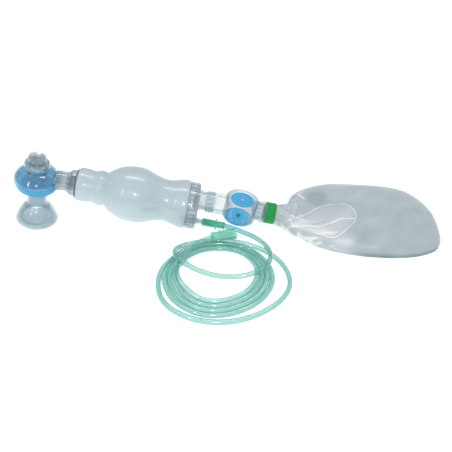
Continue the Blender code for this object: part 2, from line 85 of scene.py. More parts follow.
mat, nt, N, L = new_mat("pale_floor")
out = N.new("ShaderNodeOutputMaterial")
dif = N.new("ShaderNodeBsdfDiffuse"); dif.inputs["Color"].default_value = (0.86, 0.86, 0.86, 1)
emi = N.new("ShaderNodeEmission"); emi.inputs["Color"].default_value = (1, 1, 1, 1); emi.inputs["Strength"].default_value = 0.55
add = N.new("ShaderNodeAddShader")
L.new(dif.outputs[0], add.inputs[0]); L.new(emi.outputs[0], add.inputs[1]); L.new(add.outputs[0], out.inputs[0])
floor_mesh = bpy.data.meshes.new("floor")
floor_mesh.from_pydata([(-6, -6, -0.0004), (6, -6, -0.0004), (6, 6, -0.0004), (-6, 6, -0.0004)], [], [(0, 1, 2, 3)])
floor = bpy.data.objects.new("floor", floor_mesh)
floor_mesh.materials.append(mat)
scene.collection.objects.link(floor)

world = bpy.data.worlds.new("studio")
scene.world = world
world.use_nodes = True
world.node_tree.nodes["Background"].inputs["Color"].default_value = (1.0, 1.0, 1.0, 1)
world.node_tree.nodes["Background"].inputs["Strength"].default_value = 0.66


def area(name, loc, target, size, power, size_y=None, shape='RECTANGLE'):
    data = bpy.data.lights.new(name, 'AREA')
    data.shape = shape
    data.size = size
    if size_y:
        data.size_y = size_y
    data.energy = power
    ob = bpy.data.objects.new(name, data)
    ob.location = loc
    ob.rotation_euler = (Vector(target) - Vector(loc)).to_track_quat('-Z', 'Y').to_euler()
    scene.collection.objects.link(ob)
    return ob


area("flash", T(214, -640, 520), T(230, -40, 30), 0.085, 1.15, shape='DISK')
area("top_strip", T(235, 250, 1000), T(235, 0, 30), 0.8, 2.6, 0.16)
area("left_strip", T(-285, -640, 600), T(0, 0, 60), 0.035, 0.55, 0.42)
area("big_soft", T(100, -900, 1100), T(240, 0, 30), 1.2, 0.7, 1.2)

# --------------------------------------------------------------- mesh tools


def obj_from(name, verts, faces, mat, smooth_angle=40.0):
    mesh = bpy.data.meshes.new(name)
    mesh.from_pydata([tuple(v) for v in verts], [], faces)
    mesh.validate()
    mesh.update()
    import bmesh
    bm = bmesh.new()
    bm.from_mesh(mesh)
    bmesh.ops.recalc_face_normals(bm, faces=bm.faces)
    bm.to_mesh(mesh)
    bm.free()
    mesh.shade_smooth()
    if smooth_angle:
        mesh.set_sharp_from_angle(angle=math.radians(smooth_angle))
    ob = bpy.data.objects.new(name, mesh)
    scene.collection.objects.link(ob)
    if mat:
        mesh.materials.append(mat)
    return ob


def fillet(points, radius=0.4, n=3, closed=True):
    """Rounds the corners of a profile.  A point may carry its own radius."""
    pts = [(Vector((p[0], p[1])), (p[2] if len(p) > 2 else radius)) for p in points]
    res = []
    m = len(pts)
    for i, (p, r) in enumerate(pts):
        if (not closed and i in (0, m - 1)) or p.x <= 1e-6 or r <= 0:
            res.append((p.x, p.y))
            continue
        a, b = pts[i - 1][0], pts[(i + 1) % m][0]
        la, lb = (a - p).length, (b - p).length
        if la < 1e-6 or lb < 1e-6:
            continue
        d = min(r, la * 0.45, lb * 0.45)
        p0, p1 = p + (a - p) * (d / la), p + (b - p) * (d / lb)
        for k in range(n + 1):
            t = k / n
            q = p0 * (1 - t) ** 2 + p * 2 * t * (1 - t) + p1 * t * t
            res.append((q.x, q.y))
    return res


def spline2(points, per=6):
    """Catmull-Rom through 2D or 3D points."""
    pts = [Vector(p) for p in points]
    pts = [pts[0] * 2 - pts[1]] + pts + [pts[-1] * 2 - pts[-2]]
    res = []
    for i in range(1, len(pts) - 2):
        a, b, c, d = pts[i - 1:i + 3]
        for k in range(per):
            t = k / per
            res.append(0.5 * ((2 * b) + (c - a) * t + (2 * a - 5 * b + 4 * c - d) * t * t
                              + (3 * b - a - 3 * c + d) * t ** 3))
    res.append(pts[-2])
    return [tuple(p) for p in res]


def lathe(name, profile, mat, axis='Z', at=(0, 0, 0), seg=96, where=D, closed=None,
          warp=None, angle=40.0):
    """Turned piece.  profile is (radius, along) in mm."""
    prof = [(p[0], p[1]) for p in profile]
    if closed is None:
        closed = not (prof[0][0] <= 1e-6 and prof[-1][0] <= 1e-6)
    verts, rings = [], []
    for r, t in prof:
        if r <= 1e-6:
            rings.append([len(verts)])
            pts = [(0.0, 0.0)]
        else:
            rings.append(list(range(len(verts), len(verts) + seg)))
            pts = [(r * math.cos(math.tau * k / seg), r * math.sin(math.tau * k / seg)) for k in range(seg)]
        for k, (u, v) in enumerate(pts):
            if warp:
                u, v, tt = warp(u, v, t)
            else:
                tt = t
            if axis == 'Z':
                p = (at[0] + u, at[1] + v, at[2] + tt)
            else:
                p = (at[0] + tt, at[1] + u, at[2] + v)
            verts.append(where(*p))
    faces = []
    pairs = list(zip(rings, rings[1:]))
    if closed:
        pairs.append((rings[-1], rings[0]))
    for a, b in pairs:
        if len(a) == 1 and len(b) == 1:
            continue
        for k in range(seg):
            j = (k + 1) % seg
            if len(a) == 1:
                faces.append((a[0], b[j], b[k]))
            elif len(b) == 1:
                faces.append((a[k], a[j], b[0]))
            else:
                faces.append((a[k], a[j], b[j], b[k]))
    return obj_from(name, verts, faces, mat, angle)


def box_piece(name, boxes, mat, where=D, bevel=0.25):
    """Several rounded bars in one piece.  Each is (centre, x dir, y dir, z dir, half sizes)."""
    verts, faces = [], []
    for c, ex, ey, ez, h in boxes:
        c, ex, ey, ez = Vector(c), Vector(ex), Vector(ey), Vector(ez)
        b = len(verts)
        for sz in (-1, 1):
            for sy in (-1, 1):
                for sx in (-1, 1):
                    verts.append(where(*(c + ex * (h[0] * sx) + ey * (h[1] * sy) + ez * (h[2] * sz))))
        faces += [(b, b + 2, b + 3, b + 1), (b + 4, b + 5, b + 7, b + 6), (b, b + 1, b + 5, b + 4),
                  (b + 2, b + 6, b + 7, b + 3), (b, b + 4, b + 6, b + 2), (b + 1, b + 3, b + 7, b + 5)]
    ob = obj_from(name, verts, faces, mat, 60)
    mod = ob.modifiers.new("round", 'BEVEL')
    mod.width = bevel * 0.001
    mod.segments = 2
    mod.limit_method = 'ANGLE'
    return ob


def tube_piece(name, paths, radius, mat, where=D, sides=12, closed=False):
    """Round wire along each path (mm points)."""
    verts, faces = [], []
    for path in paths:
        P = [where(*p) for p in path]
        n = len(P)
        prev = None
        rings = []
        for i, p in enumerate(P):
            if closed:
                t = (P[(i + 1) % n] - P[i - 1]).normalized()
            else:
                t = (P[min(i + 1, n - 1)] - P[max(i - 1, 0)]).normalized()
            if prev is None:
                up = Vector((0, 0, 1)) if abs(t.z) < 0.9 else Vector((0, 1, 0))
                a = t.cross(up).normalized()
            else:
                a = (prev - t * prev.dot(t)).normalized()
            prev = a
            b = t.cross(a)
            ring = []
            for k in range(sides):
                w = math.tau * k / sides
                ring.append(len(verts))
                verts.append(p + (a * math.cos(w) + b * math.sin(w)) * radius * 0.001)
            rings.append(ring)
        pairs = list(zip(rings, rings[1:]))
        if closed:
            pairs.append((rings[-1], rings[0]))
        for r0, r1 in pairs:
            for k in range(sides):
                j = (k + 1) % sides
                faces.append((r0[k], r0[j], r1[j], r1[k]))
        if not closed:
            faces.append(tuple(rings[0]))
            faces.append(tuple(reversed(rings[-1])))
    return obj_from(name, verts, faces, mat, 60)


def own(ob, body, node=None, hide=True):
    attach(ob, body)
    if node and hide:
        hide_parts(node)
    return ob


# ---------------------------------------------------------------- materials


def clear_mat(name, tint, edge, base=0.10, top=0.85, power=2.2, rough=0.07, gloss=1.0,
              bump=0.0, bump_scale=60.0, ior=1.46, speck=0.05, edge_rough=0.25):
    """Thin moulded plastic or film: see-through face on, its own colour toward
    its edges, with a clear gloss over both."""
    mat, nt, N, L = new_mat(name)
    out = N.new("ShaderNodeOutputMaterial")
    lw = N.new("ShaderNodeLayerWeight"); lw.inputs["Blend"].default_value = 0.5
    pw = N.new("ShaderNodeMath"); pw.operation = 'POWER'; pw.inputs[1].default_value = power
    L.new(lw.outputs["Facing"], pw.inputs[0])
    mr = N.new("ShaderNodeMapRange")
    mr.inputs["To Min"].default_value = base
    mr.inputs["To Max"].default_value = top
    L.new(pw.outputs[0], mr.inputs["Value"])
    coord = N.new("ShaderNodeTexCoord")
    noi = N.new("ShaderNodeTexNoise"); noi.inputs["Scale"].default_value = bump_scale; noi.inputs["Detail"].default_value = 3.0
    L.new(coord.outputs["Object"], noi.inputs["Vector"])
    addn = N.new("ShaderNodeMath"); addn.operation = 'MULTIPLY_ADD'
    addn.inputs[1].default_value = speck * 2
    L.new(noi.outputs["Fac"], addn.inputs[0]); L.new(mr.outputs[0], addn.inputs[2])
    sub = N.new("ShaderNodeMath"); sub.operation = 'SUBTRACT'; sub.inputs[1].default_value = speck
    sub.use_clamp = True
    L.new(addn.outputs[0], sub.inputs[0])
    tr = N.new("ShaderNodeBsdfTransparent"); tr.inputs["Color"].default_value = (*tint, 1)
    pb = N.new("ShaderNodeBsdfPrincipled")
    pb.inputs["Base Color"].default_value = (*edge, 1)
    pb.inputs["Roughness"].default_value = edge_rough
    pb.inputs["Specular IOR Level"].default_value = 0.3
    mix = N.new("ShaderNodeMixShader")
    L.new(sub.outputs[0], mix.inputs[0]); L.new(tr.outputs[0], mix.inputs[1]); L.new(pb.outputs[0], mix.inputs[2])
    gl = N.new("ShaderNodeBsdfGlossy"); gl.inputs["Roughness"].default_value = rough
    gl.inputs["Color"].default_value = (1, 1, 1, 1)
    f0 = ((ior - 1.0) / (ior + 1.0)) ** 2
    fr = N.new("ShaderNodeMath"); fr.operation = 'POWER'; fr.inputs[1].default_value = 5.0
    L.new(lw.outputs["Facing"], fr.inputs[0])
    fs = N.new("ShaderNodeMath"); fs.operation = 'MULTIPLY_ADD'
    fs.inputs[1].default_value = 0.75 * (1.0 - f0); fs.inputs[2].default_value = f0
    L.new(fr.outputs[0], fs.inputs[0])
    fm = N.new("ShaderNodeMath"); fm.operation = 'MULTIPLY'; fm.inputs[1].default_value = gloss; fm.use_clamp = True
    L.new(fs.outputs[0], fm.inputs[0])
    mix2 = N.new("ShaderNodeMixShader")
    L.new(fm.outputs[0], mix2.inputs[0]); L.new(mix.outputs[0], mix2.inputs[1]); L.new(gl.outputs[0], mix2.inputs[2])
    L.new(mix2.outputs[0], out.inputs[0])
    if bump:
        bp = N.new("ShaderNodeBump"); bp.inputs["Strength"].default_value = bump; bp.inputs["Distance"].default_value = 0.0005
        L.new(noi.outputs["Fac"], bp.inputs["Height"])
        for node in (pb, gl, lw):
            L.new(bp.outputs[0], node.inputs["Normal"])
    return mat


def solid_mat(name, colour, rough=0.4, subsurface=0.0, sss_radius=(1, 1, 1), sss_scale=0.004, alpha=1.0,
              bump=0.02, scale=80.0, vary=0.04, coat=0.0, metallic=0.0, spec=0.5):
    mat, nt, N, L = new_mat(name)
    out = N.new("ShaderNodeOutputMaterial")
    pb = N.new("ShaderNodeBsdfPrincipled")
    coord = N.new("ShaderNodeTexCoord")
    noi = N.new("ShaderNodeTexNoise"); noi.inputs["Scale"].default_value = scale; noi.inputs["Detail"].default_value = 4.0
    L.new(coord.outputs["Object"], noi.inputs["Vector"])
    ramp = N.new("ShaderNodeValToRGB")
    lo = tuple(max(0.0, c * (1 - vary)) for c in colour); hi = tuple(min(1.0, c * (1 + vary)) for c in colour)
    ramp.color_ramp.elements[0].color = (*lo, 1); ramp.color_ramp.elements[0].position = 0.35
    ramp.color_ramp.elements[1].color = (*hi, 1); ramp.color_ramp.elements[1].position = 0.65
    L.new(noi.outputs["Fac"], ramp.inputs[0]); L.new(ramp.outputs[0], pb.inputs["Base Color"])
    mr = N.new("ShaderNodeMapRange")
    mr.inputs["To Min"].default_value = rough * 0.9; mr.inputs["To Max"].default_value = rough * 1.1
    L.new(noi.outputs["Fac"], mr.inputs["Value"]); L.new(mr.outputs[0], pb.inputs["Roughness"])
    pb.inputs["Metallic"].default_value = metallic
    pb.inputs["Specular IOR Level"].default_value = spec
    pb.inputs["Subsurface Weight"].default_value = subsurface
    pb.inputs["Subsurface Radius"].default_value = sss_radius
    pb.inputs["Subsurface Scale"].default_value = sss_scale
    pb.inputs["Coat Weight"].default_value = coat
    pb.inputs["Coat Roughness"].default_value = 0.08
    pb.inputs["Alpha"].default_value = alpha
    bp = N.new("ShaderNodeBump"); bp.inputs["Strength"].default_value = bump; bp.inputs["Distance"].default_value = 0.0005
    L.new(noi.outputs["Fac"], bp.inputs["Height"]); L.new(bp.outputs[0], pb.inputs["Normal"])
    L.new(pb.outputs[0], out.inputs[0])
    return mat


M_clear = clear_mat("clear_plastic", (0.93, 0.95, 0.96), srgb(160, 178, 188), base=0.12, top=0.70, power=1.8, gloss=1.4)
M_cap = clear_mat("clear_plastic_e", (0.95, 0.965, 0.97), srgb(172, 190, 198), base=0.22, top=0.72, power=1.6, gloss=1.4)
M_clear_b = clear_mat("clear_plastic_b", (0.91, 0.94, 0.955), srgb(160, 180, 192), base=0.18, top=0.74, power=1.7, gloss=1.5)
M_drum = clear_mat("clear_plastic_c", (0.93, 0.955, 0.965), srgb(136, 162, 176), base=0.06, top=0.74, power=1.9, gloss=1.2)
M_dome = clear_mat("clear_dome", (0.89, 0.975, 0.995), srgb(62, 164, 210), base=0.04, top=0.60, power=2.0, gloss=1.9)
M_mask = clear_mat("clear_silicone", (0.92, 0.95, 0.96), srgb(152, 179, 190), base=0.22, top=0.56, power=1.5, rough=0.09, gloss=1.7, bump=0.05)
M_mask_in = clear_mat("clear_silicone_inner", (0.92, 0.95, 0.97), srgb(146, 176, 193), base=0.20, top=0.36, power=1.8, rough=0.10, gloss=1.2)
M_arm = clear_mat("clear_plastic_d", (0.89, 0.925, 0.945), srgb(134, 152, 164), base=0.22, top=0.88, power=1.25, rough=0.07, gloss=2.4)
M_blue = clear_mat("blue_plastic", (0.62, 0.90, 0.97), srgb(36, 172, 222), base=0.42, top=0.88, power=1.4, rough=0.08, gloss=1.5)
M_flap = clear_mat("blue_silicone_flap", (0.45, 0.80, 0.95), srgb(66, 176, 226), base=0.78, top=0.95, power=1.6, rough=0.2, gloss=0.5)
# The lower flap's material glows a little. This is painted light, standing in for the light that reaches it in the
# shade under the drum.
M_flap_low_glow = solid_mat("blue_silicone_flap_low_glow", srgb(60, 172, 222), rough=0.4, spec=0.3, vary=0.03)
low_glow_bsdf = [n for n in M_flap_low_glow.node_tree.nodes if n.type == 'BSDF_PRINCIPLED'][0]
low_glow_bsdf.inputs["Emission Color"].default_value = (*srgb(70, 178, 228), 1)
low_glow_bsdf.inputs["Emission Strength"].default_value = 0.55
M_frost = solid_mat("frosted_silicone", srgb(175, 192, 199), rough=0.34, subsurface=0.12, sss_radius=(0.8, 1.0, 1.1), sss_scale=0.004, bump=0.02, scale=140, vary=0.015, spec=0.5, coat=0.6)
# White silicone for the membrane, relief disc and intake flap. It is also used for the mask's thin white lip lines,
# which are painted highlights.
M_milk_and_highlight = solid_mat("white_silicone_and_painted_highlight", srgb(205, 216, 220), rough=0.5, subsurface=0.1, scale=120)
# Dark rubber for the swivel seal. The same dark colour also serves as painted shade in the relief ports, knob notches
# and screw sockets, and as a painted shadow ring at the bag's mouth.
M_dark_seal_and_shade = solid_mat("seal_rubber", srgb(84, 92, 100), rough=0.5)
M_steel = solid_mat("spring_steel", (0.62, 0.62, 0.64), rough=0.25, metallic=1.0)
M_tape = solid_mat("green_tape", srgb(22, 146, 66), rough=0.5, bump=0.15, scale=220, vary=0.08, coat=0.1, spec=0.25)
M_mark = solid_mat("dark_green_mark", srgb(10, 140, 92), rough=0.4)
M_tube = clear_mat("green_tube", (0.83, 0.95, 0.93), srgb(88, 180, 168), base=0.28, top=0.88, power=1.2, rough=0.12, gloss=2.3, speck=0.0)
M_sock = clear_mat("clear_plastic_f", (0.96, 0.972, 0.98), srgb(182, 198, 206), base=0.08, top=0.62, power=1.9, gloss=1.8)
M_lip = clear_mat("blue_silicone_lip", (0.50, 0.86, 0.97), srgb(44, 172, 222), base=0.68, top=0.92, power=1.6, rough=0.2, gloss=0.8)
M_conn = clear_mat("green_connector", (0.75, 0.97, 0.90), srgb(70, 200, 166), base=0.34, top=0.86, power=1.3, rough=0.10, gloss=1.6)
M_conn2 = clear_mat("pale_green_connector", (0.84, 0.97, 0.93), srgb(116, 212, 186), base=0.26, top=0.84, power=1.4, rough=0.10, gloss=1.8)

# ------------------------------------------------------------- oxygen tube
# One tube: from the near connector it crosses over the coil, becomes its
# outermost strand, runs round once more as a loose outer loop, winds inward
# for four turns and climbs onto the coil into the far connector.
import numpy as np

TUBE_R = 3.25
TUBE_D = 2 * TUBE_R
COIL_X, COIL_Y = 235.0, -100.8


def G(x, y, z):
    """Straight assembly to table, both in mm."""
    return (x * CL + z * SL, y, AXIS_HEIGHT - x * SL + z * CL)


def around(table, deg):
    """Periodic smooth value from (degrees, value) rows."""
    deg = deg % 360.0
    rows = sorted(table)
    rows = [(rows[-1][0] - 360.0, rows[-1][1])] + rows + [(rows[0][0] + 360.0, rows[0][1])]
    for (a, va), (b, vb) in zip(rows, rows[1:]):
        if a <= deg <= b:
            t = (deg - a) / (b - a)
            t = t * t * (3 - 2 * t)
            return va + (vb - va) * t
    return rows[0][1]


LANE_OUTER = [(0, 65.2), (45, 60.9), (90, 57.2), (120, 60.0), (150, 66.0), (180, 70.9), (245, 70.9), (300, 65.3)]
LANE_STEP = [(0, 5.5), (45, 4.5), (90, 3.9), (150, 4.5), (180, 5.1), (215, 6.7), (245, 7.3), (300, 7.1), (330, 6.6)]
OUTER_LOOP = [(105, 64.8), (90, 64.0), (70, 65.0), (55, 67.4), (43, 70.8), (31, 75.0), (19.3, 78.3),
              (8.3, 81.3), (-2.2, 83.8), (-12.4, 84.4), (-24, 82.0), (-35.8, 78.9), (-46, 76.6), (-56, 75.0),
              (-67, 74.0), (-79, 73.6), (-91.6, 73.6), (-102, 74.2), (-113.6, 75.0), (-129, 76.2),
              (-140.6, 77.4), (-151.8, 76.8), (-166.7, 74.6), (-180, 72.6), (-195, 69.6)]


def coil_point(deg, r, z):
    a = math.radians(deg)
    return (COIL_X + r * math.cos(a), COIL_Y + r * math.sin(a), z)


def tube_route():
    route = [G(241.0, -15.5, -11.7), G(245.0, -15.5, -11.7), G(249.0, -15.6, -12.2),
             (252.5, -17.2, 6.2), (262.0, -20.6, 4.2), (272.5, -25.4, 3.5), (281.0, -32.2, 3.9), (288.0, -42.6, 6.2),
             (293.2, -55.6, 9.6), (296.2, -70.0, 13.4), (294.4, -86.0, 15.4), (286.0, -98.0, 15.6),
             (271.0, -105.4, 12.6), (254.0, -107.0, 9.4), (238.0, -105.4, 8.0), (222.5, -102.6, 8.6),
             (208.5, -99.2, 11.4), (196.6, -95.2, 14.4), (187.2, -90.0, 15.6), (180.8, -82.6, 16.0), (177.4, -73.8, 15.6),
             (177.2, -64.4, 13.4), (180.4, -55.6, 8.6), (186.8, -48.2, 4.8), (195.6, -43.2, 3.4)]
    route += [coil_point(a, r, 3.3) for a, r in OUTER_LOOP]
    turns, per = 4.0, 36
    for k in range(1, int(turns * per) + 1):
        q = k / per
        deg = 150.0 - 360.0 * q
        step = around(LANE_STEP, deg)
        r = around(LANE_OUTER, deg) - q * step
        rise = math.sqrt(max(0.0, 6.7 ** 2 - step ** 2))
        f = (q - 0.667) % 2.0                     # high strands alternate with low ones
        high = min(1.0, max(0.0, f / 0.12 + 0.5)) * (1.0 if f < 1.0 else 0.0) if f < 1.0 else 0.0
        if f < 0.06:
            high = 0.5 + f / 0.12
        elif f < 0.94:
            high = 1.0
        elif f < 1.06:
            high = 0.5 - (f - 1.0) / 0.12
        elif f < 1.94:
            high = 0.0
        else:
            high = (f - 1.94) / 0.12
        z = 3.3 + rise * high
        if q > 3.68:                              # the tail climbs onto the coil
            t = (q - 3.68) / 0.32
            t = t * t * (3 - 2 * t)
            z += (14.2 - z) * t
            r += (52.6 - r) * t
        route.append(coil_point(deg, r, z))
    yaw = math.radians(22.5)
    far = Vector((222.6, -48.9, 17.6))
    back = Vector((-math.cos(yaw), -math.sin(yaw), 0.0))
    route += [coil_point(138, 53.4, 14.8), tuple(far + back * 26 + Vector((0, 0, -2.2))), tuple(far + back * 14 + Vector((0, 0, -0.7))),
              tuple(far + back * 6), tuple(far + back * 0.2), tuple(far - back * 3.0)]
    return route


def even(points, spacing):
    pts = np.array(points, float)
    seg = np.linalg.norm(np.diff(pts, axis=0), axis=1)
    s = np.concatenate([[0], np.cumsum(seg)])
    n = int(round(s[-1] / spacing))
    t = np.linspace(0, s[-1], n + 1)
    return np.stack([np.interp(t, s, pts[:, k]) for k in range(3)], 1)


def settle(P, rounds=260):
    """Lets the tube lie: strands push each other apart, rest on the table and
    sag where nothing is under them."""
    P = P.copy()
    home = P.copy()
    n = len(P)
    idx = np.arange(n)
    far = np.abs(idx[:, None] - idx[None, :]) > 7
    hold = np.ones(n)
    hold[:6] = 0.0
    hold[-6:] = 0.0
    for it in range(rounds):
        d = P[:, None, :] - P[None, :, :]
        dist = np.sqrt((d ** 2).sum(2)) + 1e-9
        near = far & (dist < 6.56)
        push = np.where(near, (6.56 - dist) / dist, 0.0)[:, :, None] * d
        move = push.sum(1) * 0.34
        lap = np.zeros_like(P)
        lap[1:-1] = 0.5 * (P[:-2] + P[2:]) - P[1:-1]
        bend = np.zeros_like(P)
        bend[1:-1] = 0.5 * (lap[:-2] + lap[2:]) - lap[1:-1]
        move += -bend * 0.45
        move[:, 2] -= 0.035
        move[:, :2] += (home - P)[:, :2] * 0.035
        move[:, 2] += (home - P)[:, 2] * 0.02
        P += move * hold[:, None]
        P[:, 2] = np.maximum(P[:, 2], TUBE_R + 0.05)
    return P


route = spline2(tube_route(), 8)
cord_mm = settle(even(route, 4.0))


def smooth_line(P, sigma, hold=5):
    """Gaussian smoothing along the line, with its ends kept."""
    n = len(P)
    w = np.exp(-0.5 * (np.arange(-9, 10) / sigma) ** 2)
    w /= w.sum()
    pad = np.concatenate([np.repeat(P[:1], 9, 0), P, np.repeat(P[-1:], 9, 0)])
    Q = np.stack([np.convolve(pad[:, k], w, 'valid') for k in range(3)], 1)
    f = np.clip((np.minimum(np.arange(n), n - 1 - np.arange(n)) - 1) / hold, 0, 1)[:, None]
    return P * (1 - f) + Q * f


cord_mm = smooth_line(cord_mm, 2.0)
cord_mm[:, 2] = np.maximum(cord_mm[:, 2], TUBE_R + 0.05)
cord_mm = np.array(spline2([tuple(p) for p in cord_mm], 2))

curve = bpy.data.curves.new("oxygen_tube", 'CURVE')
curve.dimensions = '3D'
curve.bevel_depth = TUBE_R * 0.001
curve.bevel_resolution = 5
curve.use_fill_caps = True
sp = curve.splines.new('POLY')
sp.points.add(len(cord_mm) - 1)
for q, p in zip(sp.points, cord_mm):
    q.co = (*T(*p), 1.0)
sp.use_smooth = True
tube_ob = bpy.data.objects.new("oxygen_tube", curve)
scene.collection.objects.link(tube_ob)
curve.materials.append(M_tube)
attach(tube_ob, "bag")
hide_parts("oxygen_tube_lead", "oxygen_tube_coil", "oxygen_tube_outer_loop", "oxygen_tube_tail")

# connectors at its two ends
near_at = (0, -15.5, -11.7)
near_conn = lathe("near_connector", fillet([
    (3.35, 215.0), (5.0, 215.0), (5.0, 217.6), (4.6, 218.2), (4.6, 231.4), (4.9, 232.2), (7.6, 232.6), (7.6, 234.2),
    (5.0, 234.7), (4.7, 235.6), (4.6, 242.6), (5.0, 243.2), (5.0, 244.7), (3.45, 244.7), (3.45, 227.0), (3.35, 226.6)], 0.3),
    M_conn, 'X', near_at, 48)
own(near_conn, "bag", "near_tube_connector")
near_ribs = []
for k in range(8):
    a = math.tau * k / 8 + 0.2
    c, s = math.cos(a), math.sin(a)
    near_ribs.append(((224.6, near_at[1] + 4.65 * c, near_at[2] + 4.65 * s), (1, 0, 0), (0, c, s), (0, -s, c), (6.6, 0.35, 0.35)))
own(box_piece("near_connector_ribs", near_ribs, M_conn, bevel=0.12), "bag", None)

FAR = Vector((222.1, -47.4, 17.6))
FAR_YAW = math.radians(16.5)


def F(x, y, z):
    """Far connector's own frame (its axis is X) to the row frame."""
    return T(FAR.x + x * math.cos(FAR_YAW) - y * math.sin(FAR_YAW), FAR.y + x * math.sin(FAR_YAW) + y * math.cos(FAR_YAW), FAR.z + z)


far_conn = lathe("far_connector", fillet([
    (4.9, 0.0), (6.2, 0.0), (6.2, 1.6), (5.8, 2.2), (5.8, 9.4), (6.1, 9.9), (7.9, 10.2), (7.9, 11.8), (6.2, 12.4), (5.9, 14.0),
    (6.3, 20.0), (6.9, 29.2), (7.3, 29.8), (7.3, 31.6), (5.9, 31.6), (5.5, 19.0), (4.9, 15.0)], 0.3),
    M_conn2, 'X', (0, 0, 0), 48, F)
own(far_conn, "bag", "far_tube_connector")
far_ribs = []
for k in range(8):
    a = math.tau * k / 8 + 0.25
    c, s = math.cos(a), math.sin(a)
    far_ribs.append(((21.6, 6.35 * c, 6.35 * s), (1, 0.04 * c, 0.04 * s), (0, c, s), (0, -s, c), (7.6, 0.35, 0.4)))
own(box_piece("far_connector_ribs", far_ribs, M_conn2, F, 0.12), "bag", None)

# ---------------------------------------------------------------- face mask
mask_prof = spline2([(11.1, -21.2), (12.1, -21.2)], 1) + spline2([
    (12.1, -21.8), (12.1, -30.0), (12.1, -38.8), (12.5, -41.2), (14.2, -43.4), (17.6, -46.8), (21.6, -53.0), (24.9, -59.4),
    (26.4, -63.4), (26.9, -66.0), (26.5, -67.6), (24.8, -68.3), (22.4, -67.7), (20.2, -66.4), (18.6, -65.2), (18.0, -64.5),
    (18.3, -63.9), (19.2, -64.0), (21.6, -65.2), (23.7, -66.0), (24.9, -65.2), (24.6, -63.2), (22.6, -58.4), (19.6, -53.0),
    (16.0, -47.6), (12.9, -43.9), (11.5, -42.2), (11.1, -40.8), (11.1, -30.0), (11.1, -21.8)], 4)
mask = lathe("mask_shell", mask_prof, M_mask, 'Z', seg=128)
own(mask, "mask", "face_mask")
inner_prof = spline2([(11.2, -44.0), (13.4, -48.6), (16.6, -54.0), (19.2, -59.2), (20.4, -62.6), (20.2, -65.0), (19.4, -66.0)], 5)
inner_back = [(r - 0.7, z - 0.1) for r, z in reversed(inner_prof)]
own(lathe("mask_inner_wall", inner_prof + inner_back, M_mask_in, 'Z', seg=128), "mask", None)
# Two thin white rings along the mask's curled lip: painted highlights.
for k, (r, z, w) in enumerate([(18.15, -64.2, 0.22), (20.45, -62.2, 0.16)]):
    own(lathe("mask_lip_highlight_line_%d" % k, [(r + w * math.cos(math.tau * j / 10), z + w * math.sin(math.tau * j / 10)) for j in range(10)], M_milk_and_highlight, 'Z', seg=96), "mask", None)
for k, (r, z, w) in enumerate([(26.75, -64.6, 0.35), (12.25, -40.0, 0.3), (12.3, -22.2, 0.45)]):
    own(lathe("mask_bead_%d" % k, [(r + w * math.cos(math.tau * j / 10), z + w * math.sin(math.tau * j / 10)) for j in range(10)], M_mask, 'Z', seg=96), "mask", None)

# -------------------------------------------------------------- patient port
port = lathe("port_cone", fillet([
    (9.4, -9.6), (9.4, -16.8), (13.2, -16.8), (13.2, -17.8), (11.5, -17.8), (11.5, -20.6), (10.75, -20.8), (10.5, -40.4),
    (9.9, -41.0), (7.6, -41.0), (7.6, -9.6)], 0.25), M_clear, 'Z', seg=96)
own(port, "patient_port", "patient_connector")

# ------------------------------------------------------ patient valve, lower
lower = lathe("lower_housing_shell", fillet([
    (24.9, -0.9), (27.5, -0.9), (27.6, -2.4), (27.9, -3.0), (27.9, -8.5), (26.5, -9.2), (26.2, -13.6), (21.8, -14.6), (21.2, -18.4),
    (19.2, -19.9), (12.0, -19.9), (12.0, -18.3), (19.0, -18.3), (19.6, -13.2), (23.9, -12.0), (24.7, -8.5)], 0.45),
    M_blue, 'Z', seg=128)
own(lower, "patient_valve", "valve_lower_housing")
lines = [(27.95, -5.2), (26.35, -11.2)]
for k, (r, z) in enumerate(lines):
    own(lathe("lower_housing_line_%d" % k, [(r + 0.28 * math.cos(math.tau * j / 8), z + 0.28 * math.sin(math.tau * j / 8)) for j in range(8)], M_blue, 'Z', seg=128),
        "patient_valve", None)
# six guards over the exhalation ports, and the small locking tab
guards = []
for k in range(6):
    a = math.tau * (k + 0.5) / 6
    guards.append(((15.6 * math.cos(a), 15.6 * math.sin(a), -19.1), (math.cos(a), math.sin(a), 0), (-math.sin(a), math.cos(a), 0), (0, 0, 1), (3.2, 0.6, 1.0)))
own(box_piece("exhalation_guards", guards, M_blue), "patient_valve", None)
ta = math.radians(-32)
own(box_piece("locking_tab", [((27.6 * math.cos(ta), 27.6 * math.sin(ta), -7.2), (math.cos(ta), math.sin(ta), 0), (-math.sin(ta), math.cos(ta), 0), (0, 0, 1), (1.3, 2.0, 2.6))], M_blue, bevel=0.5),
    "patient_valve", None)

membrane = lathe("exhalation_membrane_disc", fillet([(13.6, -17.9), (18.4, -17.9), (18.4, -17.2), (13.6, -17.2)], 0.2), M_milk_and_highlight, 'Z', seg=96)
own(membrane, "exhalation_membrane", "exhalation_membrane")
lip = lathe("lip_valve_disc", fillet([
    (0, -15.2), (1.4, -15.2), (6.2, -9.2), (19.0, -9.2), (19.0, -8.2), (5.6, -8.2), (0.7, -14.0), (0, -14.0)], 0.3), M_lip, 'Z', seg=96)
own(lip, "lip_valve", "lip_valve")

